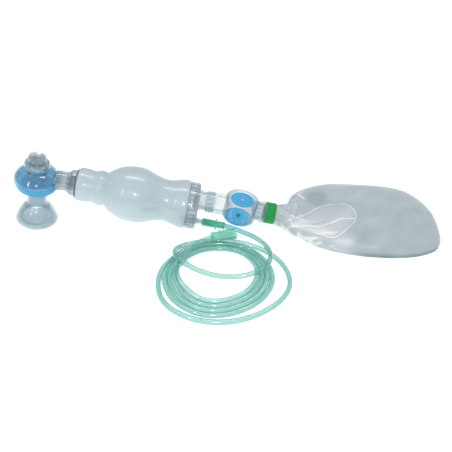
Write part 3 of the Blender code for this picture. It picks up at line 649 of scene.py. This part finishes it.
# ------------------------------------------------------ patient valve, upper
dome_out = spline2([(28.0, -2.6), (28.4, -2.0), (28.4, -0.8), (27.5, 1.8), (25.3, 5.0), (22.3, 8.0), (19.0, 10.2), (15.8, 11.5)], 4)
dome_in = spline2([(15.0, 10.4), (18.4, 9.0), (21.4, 7.0), (24.2, 4.2), (26.4, 1.2), (27.5, -0.8), (27.75, -2.2)], 4)
own(lathe("upper_dome", dome_out + [(15.0, 11.6), (6.0, 11.6), (6.0, 10.4)] + dome_in, M_dome, 'Z', seg=128), "patient_valve", "valve_upper_housing")
side = lathe("side_tube", fillet([
    (9.0, 24.0), (12.3, 24.0), (12.5, 26.0), (12.5, 33.0), (12.5, 38.6), (12.2, 39.0), (10.3, 39.0), (10.3, 46.6), (10.0, 47.0),
    (8.9, 47.0), (8.9, 30.6)], 0.3), M_arm, 'X', seg=96)
own(side, "patient_valve", None)
saddle = []
for k in range(25):
    a = math.radians(-62 + 124 * k / 24)
    saddle.append((26.0 * math.cos(a) * 0.98, 12.6 * math.sin(a * 1.45), -1.0 + 9.5 * math.cos(a * 1.45)))
own(tube_piece("side_tube_root", [saddle], 0.7, M_clear_b, D), "patient_valve", None)
own(lathe("side_tube_band", fillet([(12.3, 27.6), (13.1, 27.6), (13.1, 29.2), (12.3, 29.2)], 0.3), M_clear_b, 'X', seg=96),
    "patient_valve", None)


own(lathe("dome_inner_cylinder", fillet([(11.2, -4.4), (12.0, -4.4), (12.0, 10.2), (11.2, 10.2)], 0.3), M_drum, 'Z', seg=96), "patient_valve", None)


def on_dome(deg, r, lift=0.0):
    """Point on the dome's outer surface."""
    prof = [(28.4, -0.8), (27.4, 1.8), (25.2, 5.0), (22.3, 8.0), (19.0, 10.2), (15.6, 11.6)]
    z = 11.6
    for (r0, z0), (r1, z1) in zip(prof, prof[1:]):
        if r1 <= r <= r0:
            z = z0 + (z1 - z0) * (r0 - r) / (r0 - r1)
    a = math.radians(deg)
    return (r * math.cos(a), r * math.sin(a), z + lift)


loops = []
for base in (-38, -142, 128, 52):
    pts = []
    for k in range(29):
        t = math.tau * k / 28
        pts.append(on_dome(base + 15.5 * math.cos(t), 22.6 + 4.3 * math.sin(t), 0.1))
    loops.append(pts)
own(tube_piece("dome_loop_ribs", loops, 0.55, M_clear_b, D, sides=10), "patient_valve", None)
bars = []
for base in (-38, -142, 128, 52):
    bars.append([on_dome(base + 9, 19.6 + 0.9 * k, 0.15) for k in range(9)])
bars += [[on_dome(-90 + 16 * s, 18.5 + 1.0 * k, 0.1) for k in range(10)] for s in (-1, 1)]
own(tube_piece("dome_bars", bars, 0.4, M_clear_b, D, sides=8), "patient_valve", None)

# ------------------------------------------------------ pressure relief valve
relief_out = [(11.6, 11.9), (13.6, 11.9), (13.8, 13.7), (15.4, 14.3), (15.8, 15.0), (15.8, 16.0), (15.5, 16.4), (15.5, 20.6), (15.0, 21.6), (13.6, 22.2),
              (4.0, 22.4), (4.0, 21.1), (13.2, 20.8), (14.1, 19.8), (14.1, 15.4), (11.9, 14.4)]
relief = lathe("relief_housing_shell", fillet(relief_out, 0.4), M_clear_b, 'Z', seg=128)
own(relief, "patient_valve", "relief_valve_housing")
# Four dark boxes in the relief housing's wall: painted shade in its vent ports.
slots = []
for k in range(4):
    a = math.radians(45 + 90 * k)
    c, s = math.cos(a), math.sin(a)
    slots.append(((15.4 * c, 15.4 * s, 18.3), (c, s, 0), (-s, c, 0), (0, 0, 1), (0.3, 1.3, 1.0)))
own(box_piece("relief_port_recesses", slots, M_dark_seal_and_shade, bevel=0.3), "patient_valve", None)
ribs = []
for k in range(12):
    a = math.tau * k / 12
    c, s = math.cos(a), math.sin(a)
    ribs.append(((14.8 * c, 14.8 * s, 18.3), (c, s, 0), (-s, c, 0), (0, 0, 1), (0.4, 0.4, 2.2)))
own(lathe("relief_top_bead", [(13.3 + 0.35 * math.cos(math.tau * j / 10), 21.75 + 0.35 * math.sin(math.tau * j / 10)) for j in range(10)], M_clear_b, 'Z', seg=96), "patient_valve", None)
own(box_piece("relief_housing_ribs", ribs, M_clear_b, bevel=0.2), "patient_valve", None)

disc = lathe("relief_disc_and_stem", fillet([(0, 11.9), (8.0, 11.9), (8.0, 13.0), (1.3, 13.3), (1.3, 23.4), (0, 23.4)], 0.2),
             M_milk_and_highlight, 'Z', seg=64)
own(disc, "relief_disc", "relief_valve_disc")
nodes["relief_valve_spring"].data.materials.clear()
nodes["relief_valve_spring"].data.materials.append(M_steel)

# two-lobed knob
knob_base = lathe("knob_base", fillet([
    (1.9, 21.0), (3.7, 21.0), (3.7, 24.4), (10.0, 24.4), (10.8, 25.2), (10.8, 27.4), (10.0, 28.2), (2.0, 28.2)], 0.35), M_clear_b, 'Z', seg=96)
own(knob_base, "relief_knob", "relief_knob")
for side_sign in (-1, 1):
    verts, faces = [], []
    layers = [(24.6, 0.0), (28.8, 0.25), (30.6, 0.9), (31.4, 2.0), (31.7, 3.6)]
    outline = []
    for k in range(25):
        a = math.radians(-74 + 148 * k / 24)
        outline.append((11.0 * math.cos(a), 11.0 * math.sin(a)))
    outline += [(2.3, 9.8 - 19.6 * k / 6) for k in range(7)]
    cx, cy = 5.6, 0.0
    rings = []
    for z, inset in layers:
        ring = []
        for x, y in outline:
            f = 1.0 - inset / 9.0
            ring.append(len(verts))
            verts.append(D(side_sign * (cx + (x - cx) * f), cy + (y - cy) * f, z))
        rings.append(ring)
    m = len(outline)
    for r0, r1 in zip(rings, rings[1:]):
        for k in range(m):
            j = (k + 1) % m
            faces.append((r0[k], r0[j], r1[j], r1[k]))
    faces.append(tuple(rings[0]))
    faces.append(tuple(reversed(rings[-1])))
    lobe = obj_from("knob_lobe_%s" % ("a" if side_sign < 0 else "b"), verts, faces, M_clear_b, 50)
    own(lobe, "relief_knob", None)
# Two dark boxes at the knob's lower edge: painted shade in the gaps between knob and housing.
notches = []
for deg in (-121, -64):
    c, s_ = math.cos(math.radians(deg)), math.sin(math.radians(deg))
    notches.append(((10.8 * c, 10.8 * s_, 25.9), (c, s_, 0), (-s_, c, 0), (0, 0, 1), (0.35, 1.1, 0.7)))
own(box_piece("knob_notches", notches, M_dark_seal_and_shade, bevel=0.2), "relief_knob", None)
# Dark discs on the knob's top: painted shade in the screw sockets.
own(lathe("knob_screw_sockets", fillet([(0, 28.4), (1.2, 28.4), (1.2, 28.9), (0, 28.9)], 0.1), M_dark_seal_and_shade, 'Z', (-4.4, -4.2, 1.3), 24), "relief_knob", None)
own(lathe("knob_screw_socket_b", fillet([(0, 28.4), (1.2, 28.4), (1.2, 28.9), (0, 28.9)], 0.1), M_dark_seal_and_shade, 'Z', (4.4, -4.2, 1.3), 24), "relief_knob", None)

# ------------------------------------------------------------ neck connector
neck = lathe("neck_collar", fillet([
    (10.7, 39.4), (14.0, 39.4), (14.0, 41.4), (15.6, 41.7), (15.6, 44.4), (17.3, 44.7), (17.3, 49.4), (16.4, 49.8), (16.4, 51.0), (17.4, 51.4), (17.4, 74.0),
    (15.0, 74.0), (15.0, 49.0), (10.7, 48.0), (10.7, 44.0), (12.4, 44.0), (12.4, 41.0), (10.7, 41.0)], 0.3), M_arm, 'X', seg=96)
own(neck, "bag", "bag_neck_connector")
ribs = []
for k in range(16):
    a = math.tau * k / 16
    c, s = math.cos(a), math.sin(a)
    ribs.append(((43.0, 15.7 * c, 15.7 * s), (1, 0, 0), (0, c, s), (0, -s, c), (1.3, 0.5, 0.7)))
own(box_piece("neck_collar_ribs", ribs, M_clear_b, bevel=0.2), "bag", None)
# A dark ring at the bag's mouth: painted shadow under the rim.
own(lathe("neck_shadow_ring", fillet([(17.0, 50.5), (19.2, 50.5), (19.2, 51.4), (17.0, 51.4)], 0.2), M_dark_seal_and_shade, 'X', seg=96), "bag", None)
nodes["swivel_seal_ring"].data.materials.clear()
nodes["swivel_seal_ring"].data.materials.append(M_dark_seal_and_shade)

# --------------------------------------------------------------- squeeze bag
bag_outer = spline2([
    (19.4, 51.6), (20.6, 52.2), (21.3, 53.6), (21.8, 60.0), (21.1, 66.0), (20.4, 70.5), (21.2, 74.5), (22.6, 78.5), (22.8, 81.5),
    (22.0, 85.0), (21.6, 86.6), (22.6, 88.2), (24.9, 90.9), (29.6, 98.0), (33.0, 105.5), (35.2, 113.5), (36.05, 121.5), (36.05, 129.0), (34.6, 137.5),
    (31.7, 145.5), (29.0, 153.0), (27.4, 160.0), (27.3, 167.0), (28.6, 173.5), (30.6, 180.0), (31.6, 186.0), (31.75, 189.6), (31.4, 191.6), (30.4, 192.5)], 5)
bag_inner = [(27.5, 192.5), (27.5, 184.0), (24.8, 165.0), (27.2, 152.0), (32.8, 132.0), (33.6, 119.0), (27.5, 98.5), (19.4, 86.5), (17.9, 76.0), (17.9, 51.8)]
bag = lathe("squeeze_bag_body", [(r, x) for r, x in bag_outer] + bag_inner, M_frost, 'X', seg=160)
own(bag, "bag", "squeeze_bag")

# ------------------------------------------------------------------ rear cap
cap = lathe("cap_shell", fillet([
    (24.6, 186.0), (27.2, 186.0), (27.2, 192.8), (29.4, 192.8), (29.4, 205.2), (28.8, 206.0), (3.0, 206.0), (3.0, 204.0), (24.6, 203.8)], 0.5),
    M_cap, 'X', seg=128)
own(cap, "bag", "rear_cap")
own(lathe("cap_rim_front", fillet([(29.0, 193.0), (30.3, 193.0), (30.3, 195.0), (29.0, 195.0)], 0.4), M_cap, 'X', seg=128), "bag", None)
own(lathe("cap_rim_back", fillet([(29.2, 203.8), (30.3, 203.8), (30.3, 205.4), (29.2, 205.9)], 0.4), M_cap, 'X', seg=128), "bag", None)
ribs = []
for k in range(28):
    a = math.tau * k / 28
    c, s = math.cos(a), math.sin(a)
    ribs.append(((199.4, 29.7 * c, 29.7 * s), (1, 0, 0), (0, c, s), (0, -s, c), (4.6, 0.5, 1.1)))
own(box_piece("cap_grip_ribs", ribs, M_cap, bevel=0.3), "bag", None)
UP = (0, 0, 10.66)
inlet = lathe("cap_inlet_tube", fillet([
    (10.6, 204.0), (13.3, 204.0), (13.3, 209.4), (12.5, 209.8), (12.5, 214.6), (12.5, 225.6), (12.0, 226.0), (10.6, 226.0)], 0.3), M_clear, 'X', UP, 96)
own(inlet, "bag", None)
seat = lathe("intake_seat_rim", fillet([(9.9, 201.6), (12.9, 201.6), (12.9, 203.5), (9.9, 203.5)], 0.3), M_drum, 'X', UP, 96)
own(seat, "bag", "intake_valve_seat")
spokes = []
for k in range(3):
    a = math.pi * k / 3
    c, s = math.cos(a), math.sin(a)
    spokes.append(((202.5, UP[1], UP[2]), (1, 0, 0), (0, c, s), (0, -s, c), (0.8, 10.2, 0.9)))
own(box_piece("intake_seat_spokes", spokes, M_clear_b, bevel=0.2), "bag", None)
flap = lathe("intake_flap_disc", fillet([(0, 199.7), (12.0, 200.3), (12.0, 201.3), (1.0, 201.3), (1.0, 205.0), (0, 205.0)], 0.15), M_milk_and_highlight, 'X', UP, 96)
own(flap, "intake_flap", "intake_flap")
nipple = lathe("nipple_barb", fillet([
    (1.6, 201.0), (4.5, 201.0), (4.5, 203.4), (3.1, 203.4), (3.1, 206.0), (4.6, 206.2), (4.6, 207.6), (3.1, 208.2), (4.0, 208.8), (4.0, 210.0), (3.1, 210.6), (2.9, 214.0), (2.9, 224.0), (2.5, 226.0), (1.6, 226.0)], 0.2),
    M_clear_b, 'X', near_at, 48)
own(nipple, "bag", "oxygen_nipple")

# ----------------------------------------------------------- reservoir valve
DX = 260.9
drum = lathe("drum_wall", fillet([
    (20.2, -2.4), (21.6, -2.4), (21.6, 1.2), (21.1, 1.8), (21.1, 19.6), (21.6, 20.2), (21.6, 23.8), (20.2, 23.8)], 0.4), M_drum, 'Z', (DX, 0, 0), 128)
own(drum, "bag", "reservoir_valve_body")
socket = lathe("drum_socket", fillet([
    (12.8, 215.3), (14.6, 215.3), (15.2, 216.0), (15.2, 218.4), (14.0, 219.0), (14.0, 224.0), (15.0, 224.6), (15.0, 226.6), (14.0, 227.2), (14.2, 243.0),
    (10.8, 243.0), (10.8, 228.0), (12.8, 226.6)], 0.35), M_sock, 'X', UP, 96)
own(socket, "bag", None)
outlet = lathe("drum_outlet", fillet([
    (10.4, 278.0), (12.3, 278.0), (12.3, 288.0), (14.8, 288.5), (14.8, 290.5), (12.3, 291.0), (12.3, 305.7), (10.4, 305.7)], 0.3), M_clear_b, 'X', UP, 96)
own(outlet, "bag", None)
ribs = []
for k in range(14):
    a = math.tau * k / 14
    c, s = math.cos(a), math.sin(a)
    ribs.append(((285.2, 12.6 * c, UP[2] + 12.6 * s), (1, 0, 0), (0, c, s), (0, -s, c), (3.4, 0.5, 0.55)))
    ribs.append(((221.4, 14.2 * c, UP[2] + 14.2 * s), (1, 0, 0), (0, c, s), (0, -s, c), (2.4, 0.4, 0.7)))
own(box_piece("drum_tube_ribs", ribs, M_sock, bevel=0.15), "bag", None)

cover = lathe("top_cover_ring", fillet([
    (15.6, 24.1), (21.6, 24.1), (21.6, 25.0), (20.9, 25.6), (17.4, 25.6), (16.8, 25.1), (15.6, 25.1)], 0.3), M_drum, 'Z', (DX, 0, 0), 128)
own(cover, "bag", "air_inlet_cover")
own(lathe("top_cover_hub", fillet([(0, 20.4), (1.7, 20.4), (1.7, 24.2), (2.3, 24.3), (2.3, 25.3), (0, 25.4)], 0.3), M_drum, 'Z', (DX, 0, 0), 64), "bag", None)
aflap = lathe("air_flap_disc", fillet([(2.0, 23.0), (15.2, 23.0), (15.2, 23.8), (2.0, 23.8)], 0.2), M_flap, 'Z', (DX, 0, 0), 96)
own(aflap, "air_inlet_flap", "air_inlet_flap")

low = lathe("low_cover_ring", fillet([
    (15.8, -4.3), (20.9, -4.3), (21.6, -3.7), (21.6, -2.8), (15.8, -2.8)], 0.3), M_drum, 'Z', (DX, 0, 0), 128)
own(low, "bag", "overflow_cover")
own(lathe("low_cover_post", fillet([(0, -8.6), (2.4, -8.6), (2.4, -8.0), (1.7, -7.8), (1.7, -3.4), (2.8, -3.2), (2.8, -1.6), (0, -1.2)], 0.3), M_mark, 'Z', (DX, 0, 0), 48), "bag", None)
oflap = lathe("overflow_flap_disc", fillet([(2.0, -5.4), (18.4, -5.4), (18.4, -4.6), (2.0, -4.6)], 0.2), M_flap_low_glow, 'Z', (DX, 0, 0), 96)
own(oflap, "overflow_flap", "overflow_flap")

# ---------------------------------------------------------------- green tape
def tape_warp(u, v, t):
    a = math.atan2(v, u)
    k = 1.0 + 0.010 * math.sin(3 * a + t * 0.4) + 0.006 * math.sin(7 * a + 1.0)
    return u * k, v * k, t + 0.25 * math.sin(2 * a)


tape = lathe("tape_band", fillet([(12.9, 293.2), (13.8, 293.2), (13.85, 299.6), (13.9, 306.1), (12.9, 306.1)], 0.12), M_tape, 'X', UP, 128, warp=tape_warp)
own(tape, "bag", "green_tape_band")

# -------------------------------------------------------------- reservoir bag
# Two film sheets welded round the edge, gathered onto the outlet under the
# tape.  Rings run from the neck to the far end: centre x, middle y, centre z,
# half width, half thickness (table mm).
RINGS = [
    (288.6, 0.0, 22.27, 12.62, 12.62), (294.8, 0.0, 20.97, 12.64, 12.64), (301.2, 0.0, 19.60, 12.66, 12.66),
    (303.0, 0.0, 19.20, 13.1, 12.9), (305.4, -0.6, 18.80, 14.0, 13.2), (309.0, -1.6, 18.30, 15.6, 13.5), (313.0, -2.5, 17.60, 18.8, 13.9), (317.5, -2.9, 16.90, 23.2, 14.3),
    (321.5, -1.0, 16.20, 30.5, 14.5), (326.0, 2.4, 15.60, 38.2, 14.5), (332.0, 5.0, 14.90, 46.2, 14.3), (340.0, 6.0, 14.25, 53.4, 14.0), (356.0, 7.2, 13.50, 63.6, 13.4),
    (378.0, 7.0, 12.90, 71.6, 12.8), (404.0, 5.2, 12.50, 75.0, 12.4), (430.0, 3.8, 12.10, 75.7, 12.0),
    (454.0, 3.8, 11.30, 74.6, 11.2), (474.0, 4.4, 10.10, 70.8, 10.0), (490.0, 4.8, 8.50, 63.8, 8.4),
    (503.0, 3.0, 6.50, 52.0, 6.4), (511.0, 3.6, 4.70, 39.0, 4.5), (515.2, 4.0, 3.40, 27.5, 3.2), (517.0, 4.2, 2.60, 14.0, 2.2)]
LOOP = [(314, -26), (321, -22.5), (331.2, -17.3), (344.7, -8.0), (361.9, 7.7), (375.6, 13.0), (390.9, 16.7), (400.7, 12.5),
        (405.1, 3.9), (406.3, -5.9), (404.3, -16.0), (399.8, -23.7), (394.1, -30.8), (384.7, -40.6), (375.0, -47.2), (366.1, -46.2)]
MIDFOLD = [(312, -24.0), (323.9, -29.1), (333.5, -30.2), (343.5, -28.6), (356.0, -29.8), (369.1, -24.4), (378.3, -18.6), (387.5, -13.2), (396.1, -12.6), (403.5, -12.9)]
SMALL = [([(330.5, -38.0), (336, -43.5), (345, -46.5), (353, -47)], 1.5, 1.6), ([(344.5, -48.5), (350.5, -52.5), (358, -53)], 1.2, 1.3),
         ([(358.5, -57.0), (366, -59.0), (373, -58)], 0.9, 1.3), ([(366.1, -46.2), (358, -42), (351, -39.5)], 1.0, 1.2),
         ([(306.4, -1.7), (317.0, -11.6), (326.5, -18.0)], 1.1, 1.3), ([(309.5, -19.0), (320.5, -21.5), (327, -10.6), (330.4, 9.0)], 1.1, 1.2),
         ([(329.4, 8.4), (333.1, -6.4), (336.5, -15.3)], 1.0, 1.1), ([(306, 6), (313, 8), (322, 14), (334, 23)], 0.9, 1.4),
         ([(307, -9), (315, -16), (324, -26), (334, -37)], 0.8, 1.3), ([(322, -16), (336, -19), (350, -20.5), (362, -17)], 0.6, 1.4),
         ([(345, -34), (356, -37), (368, -39), (378, -37)], 0.5, 1.4), ([(388, -12), (392, -22), (393, -30)], 0.35, 1.6)]
TAB = [(318.0, 9.0), (322.0, 19.5), (327.5, 27.5), (334.0, 26.0), (340.5, 17.1)]


def dist_to(path, X, Y):
    best = np.full(X.shape, 1e9)
    for (x0, y0), (x1, y1) in zip(path, path[1:]):
        dx, dy = x1 - x0, y1 - y0
        t = np.clip(((X - x0) * dx + (Y - y0) * dy) / (dx * dx + dy * dy), 0, 1)
        best = np.minimum(best, np.hypot(X - x0 - t * dx, Y - y0 - t * dy))
    return best


def inside(path, X, Y):
    res = np.zeros(X.shape, bool)
    n = len(path)
    for i in range(n):
        x0, y0 = path[i]
        x1, y1 = path[(i + 1) % n]
        cond = ((y0 > Y) != (y1 > Y))
        xi = (x1 - x0) * (Y - y0) / ((y1 - y0) if abs(y1 - y0) > 1e-9 else 1e-9) + x0
        res ^= cond & (X < xi)
    return res


def smoothstep(a, b, x):
    t = np.clip((x - a) / (b - a), 0, 1)
    return t * t * (3 - 2 * t)


def soft_noise(X, Y, scale, seed):
    """Sum of a few fixed waves: a smooth, repeatable unevenness from -1 to 1."""
    rng = np.random.RandomState(seed)
    s = np.zeros(X.shape)
    for _ in range(9):
        a, f, p = rng.uniform(0, math.tau), rng.uniform(0.5, 1.6) / scale, rng.uniform(0, math.tau)
        s += np.sin((X * math.cos(a) + Y * math.sin(a)) * f * math.tau + p)
    return s / 5.0


TOP_N, LOW_N, ALONG = 190, 44, 250
rings = np.array(spline2(RINGS, 1) if False else RINGS, float)
cum = np.concatenate([[0], np.cumsum(np.hypot(np.diff(rings[:, 0]), np.diff(rings[:, 3]) * 0.6))])


def ring_at(s):
    """Catmull-Rom over the rings by their spacing."""
    i = int(np.clip(np.searchsorted(cum, s) - 1, 0, len(cum) - 2))
    t = (s - cum[i]) / (cum[i + 1] - cum[i])
    p1, p2 = rings[i], rings[i + 1]
    m1 = (rings[i + 1] - rings[i - 1]) / (cum[i + 1] - cum[i - 1]) if i > 0 else (p2 - p1) / (cum[i + 1] - cum[i])
    m2 = (rings[i + 2] - rings[i]) / (cum[i + 2] - cum[i]) if i + 2 < len(rings) else (p2 - p1) / (cum[i + 1] - cum[i])
    h = cum[i + 1] - cum[i]
    return ((2 * t ** 3 - 3 * t ** 2 + 1) * p1 + (t ** 3 - 2 * t ** 2 + t) * h * m1 + (-2 * t ** 3 + 3 * t ** 2) * p2 + (t ** 3 - t ** 2) * h * m2)


svals = np.linspace(0, cum[-1], ALONG)
grid = np.array([ring_at(s) for s in svals])
ang_top = np.linspace(math.pi, 0, TOP_N)                 # far seam over the top to the near seam
t_top = np.cos(ang_top)
t_low = np.cos(np.linspace(0, math.pi, LOW_N + 2)[1:-1])
# more points toward the middle of the sheet than an even angle gives
t_top = 0.55 * t_top + 0.45 * np.linspace(-1, 1, TOP_N)
VX, VY, VZ, TONE, ISTOP = [], [], [], [], []
for x, ym, zc, w, h in grid:
    film = float(smoothstep(306.0, 345.0, np.array(x)))
    lean = 1.0 - float(smoothstep(303.0, 333.0, np.array(x)))
    p_, q_ = 2.0 + 0.5 * film, 0.5 + 0.16 * film
    for t, top in [(v, True) for v in t_top] + [(v, False) for v in t_low]:
        if top:
            up = h * (1 - abs(t) ** p_) ** q_
        else:
            up = -h * (1 - abs(t) ** (2.0 + 2.0 * film)) ** (0.5 + 0.2 * film)
        VX.append(x + up * SL * lean)
        VY.append(ym - w * t)
        VZ.append(zc + up * (1 - (1 - CL) * lean))
        ISTOP.append(top)
VX, VY, VZ, ISTOP = map(np.array, (VX, VY, VZ, ISTOP))
per_ring = TOP_N + LOW_N
T_ALL = np.tile(np.concatenate([t_top, t_low]), ALONG)
XR = np.repeat(grid[:, 0], per_ring)
top_w = np.where(ISTOP, 1.0, 0.0) * (1 - np.abs(T_ALL) ** 6)
body = smoothstep(307.0, 318.0, XR)
dz = np.zeros(VX.shape)
d_loop = dist_to(spline2(LOOP, 6), VX, VY)
d_mid = dist_to(spline2(MIDFOLD, 6), VX, VY)
in_loop = inside([tuple(p) for p in spline2(LOOP, 4)], VX, VY)
signed = np.where(in_loop, d_loop, -d_loop)
dz += 1.5 * np.exp(-(d_loop / 1.15) ** 2) + 1.2 * np.exp(-(d_mid / 1.1) ** 2)
dz -= 1.5 * smoothstep(0.0, 9.0, signed) * (1 - 0.5 * np.exp(-(d_mid / 5.0) ** 2))
for path, hgt, wid in SMALL:
    dz += hgt * 1.25 * np.exp(-(dist_to(spline2(path, 5), VX, VY) / wid) ** 2)
d_tab = dist_to(spline2(TAB, 6), VX, VY)
dz += 5.5 * np.exp(-(d_tab / 2.6) ** 2) * smoothstep(316, 322, VX)
dark_patch = smoothstep(1.15, 0.45, np.hypot((VX - 359.0) / 19.0, (VY - 29.0) / 23.0))
dz -= 1.6 * dark_patch
dz += 0.55 * soft_noise(VX, VY, 46.0, 3) + 0.22 * soft_noise(VX, VY, 17.0, 8)
dz += 0.10 * soft_noise(VX, VY, 7.0, 5) * smoothstep(420.0, 330.0, VX)
# fine wrinkles that fan out of the gathered neck
fan = np.arctan2(VY - 1.0, VX - 285.0)
dz += 0.45 * np.sin(fan * 46.0 + 1.3 * np.sin(VX * 0.09)) * smoothstep(372.0, 312.0, VX)
VZ = VZ + dz * top_w * body
# pleats round the sleeve
ang = np.arctan2(VZ - np.repeat(grid[:, 2], per_ring), VY - np.repeat(grid[:, 1], per_ring))
pleat = (0.55 * np.sin(ang * 11.0 + 0.6) + 0.35 * np.sin(ang * 19.0 + VX * 0.12)) * smoothstep(303.5, 308.0, XR) * smoothstep(326.0, 312.0, XR)
VY = VY + pleat * np.cos(ang)
VZ = VZ + pleat * np.sin(ang)
# flat weld along the seam, with a slightly wavy edge
edge = smoothstep(0.955, 0.985, np.abs(T_ALL)) * smoothstep(318.0, 335.0, XR)
zc_all = np.repeat(grid[:, 2], per_ring)
VZ = zc_all + (VZ - zc_all) * (1 - 0.9 * edge) + edge * 0.5 * soft_noise(VX, VY, 30.0, 12)
VZ = np.maximum(VZ, 0.25)
# Film tone: random unevenness and the darker patch, plus painted highlights along the folds, painted glints, and
# painted light on the near side and on the underside by the neck.
tone_and_painted_light = 0.5 + 0.20 * smoothstep(-2.0, 6.0, signed) - 0.26 * dark_patch + 0.10 * soft_noise(VX, VY, 38.0, 21)
# Painted highlights along the loop fold and the middle fold, fading out toward the neck.
neck_fade = 0.12 + 0.88 * smoothstep(316.0, 346.0, VX)
tone_and_painted_light += neck_fade * (0.50 * np.exp(-(d_loop / 1.0) ** 2) + 0.44 * np.exp(-(d_mid / 1.0) ** 2))
# Painted light: the near side of the sheet is lighter between the neck and the middle.
tone_and_painted_light += 0.16 * smoothstep(0.30, 0.70, T_ALL) * smoothstep(415.0, 372.0, VX) * smoothstep(310.0, 324.0, VX)
# Painted highlight along the folded tab.
tone_and_painted_light += 0.45 * np.exp(-(d_tab / 1.8) ** 2)
# Painted glints along the small folds.
for path, hgt, wid in SMALL:
    tone_and_painted_light += (0.26 if hgt >= 1.15 else 0.20) * hgt * np.exp(-(dist_to(spline2(path, 5), VX, VY) / (wid * 1.1)) ** 2)
tone_and_painted_light = tone_and_painted_light - 0.45 * smoothstep(0.93, 0.99, np.abs(T_ALL)) * smoothstep(318.0, 345.0, XR) * (1 - 0.85 * (T_ALL > 0) * smoothstep(420.0, 385.0, XR))
# Painted light: the underside by the neck is lighter.
tone_and_painted_light = tone_and_painted_light + np.where(ISTOP, 0.0, 0.22) * smoothstep(360.0, 310.0, XR)
tone_and_painted_light -= 0.10 * smoothstep(0.3, 1.0, soft_noise(VX, VY, 24.0, 33)) * smoothstep(390, 420, VX)
verts = [T(*p) for p in zip(VX, VY, VZ)]
faces = []
for i in range(ALONG - 1):
    for k in range(per_ring):
        j = (k + 1) % per_ring
        faces.append((i * per_ring + k, i * per_ring + j, (i + 1) * per_ring + j, (i + 1) * per_ring + k))
faces.append(tuple(range((ALONG - 1) * per_ring, ALONG * per_ring)))

mat, nt, N, L = new_mat("reservoir_film")
out = N.new("ShaderNodeOutputMaterial")
att = N.new("ShaderNodeAttribute"); att.attribute_name = "tone_and_painted_light"
coord = N.new("ShaderNodeTexCoord")
noi = N.new("ShaderNodeTexNoise"); noi.inputs["Scale"].default_value = 42.0; noi.inputs["Detail"].default_value = 5.0; noi.inputs["Distortion"].default_value = 0.6
L.new(coord.outputs["Object"], noi.inputs["Vector"])
nm = N.new("ShaderNodeMath"); nm.operation = 'MULTIPLY_ADD'; nm.inputs[1].default_value = 0.30; nm.inputs[2].default_value = -0.15
L.new(noi.outputs["Fac"], nm.inputs[0])
sm = N.new("ShaderNodeMath"); sm.operation = 'ADD'
L.new(att.outputs["Fac"], sm.inputs[0]); L.new(nm.outputs[0], sm.inputs[1])
# The ramp's near-white top is reached only by the painted highlights and glints.
ramp = N.new("ShaderNodeValToRGB")
cr = ramp.color_ramp
cr.elements[0].position = 0.0; cr.elements[0].color = (*srgb(134, 152, 158), 1)
cr.elements[1].position = 1.0; cr.elements[1].color = (*srgb(250, 252, 253), 1)
e = cr.elements.new(0.35); e.color = (*srgb(172, 187, 192), 1)
e = cr.elements.new(0.6); e.color = (*srgb(190, 202, 207), 1)
e = cr.elements.new(0.8); e.color = (*srgb(208, 216, 220), 1)
L.new(sm.outputs[0], ramp.inputs[0])
pb = N.new("ShaderNodeBsdfPrincipled")
L.new(ramp.outputs[0], pb.inputs["Base Color"])
pb.inputs["Roughness"].default_value = 0.22
pb.inputs["Specular IOR Level"].default_value = 0.55
tr = N.new("ShaderNodeBsdfTransparent"); tr.inputs["Color"].default_value = (0.80, 0.84, 0.87, 1)
lw = N.new("ShaderNodeLayerWeight"); lw.inputs["Blend"].default_value = 0.5
mr = N.new("ShaderNodeMapRange"); mr.inputs["To Min"].default_value = 0.78; mr.inputs["To Max"].default_value = 0.98
L.new(lw.outputs["Facing"], mr.inputs["Value"])
mx = N.new("ShaderNodeMixShader")
L.new(mr.outputs[0], mx.inputs[0]); L.new(tr.outputs[0], mx.inputs[1]); L.new(pb.outputs[0], mx.inputs[2])
L.new(mx.outputs[0], out.inputs[0])
fine = N.new("ShaderNodeTexNoise"); fine.inputs["Scale"].default_value = 90.0; fine.inputs["Detail"].default_value = 4.0; fine.inputs["Distortion"].default_value = 1.2
L.new(coord.outputs["Object"], fine.inputs["Vector"])
bp = N.new("ShaderNodeBump"); bp.inputs["Strength"].default_value = 0.18; bp.inputs["Distance"].default_value = 0.001
L.new(fine.outputs["Fac"], bp.inputs["Height"]); L.new(bp.outputs[0], pb.inputs["Normal"])
M_film = mat

film = obj_from("reservoir_film", verts, faces, None, None)
film.data.materials.append(M_film)
attr = film.data.attributes.new("tone_and_painted_light", 'FLOAT', 'POINT')
attr.data.foreach_set("value", np.clip(tone_and_painted_light, 0, 1.2).astype(np.float32))
own(film, "bag", "reservoir_bag")
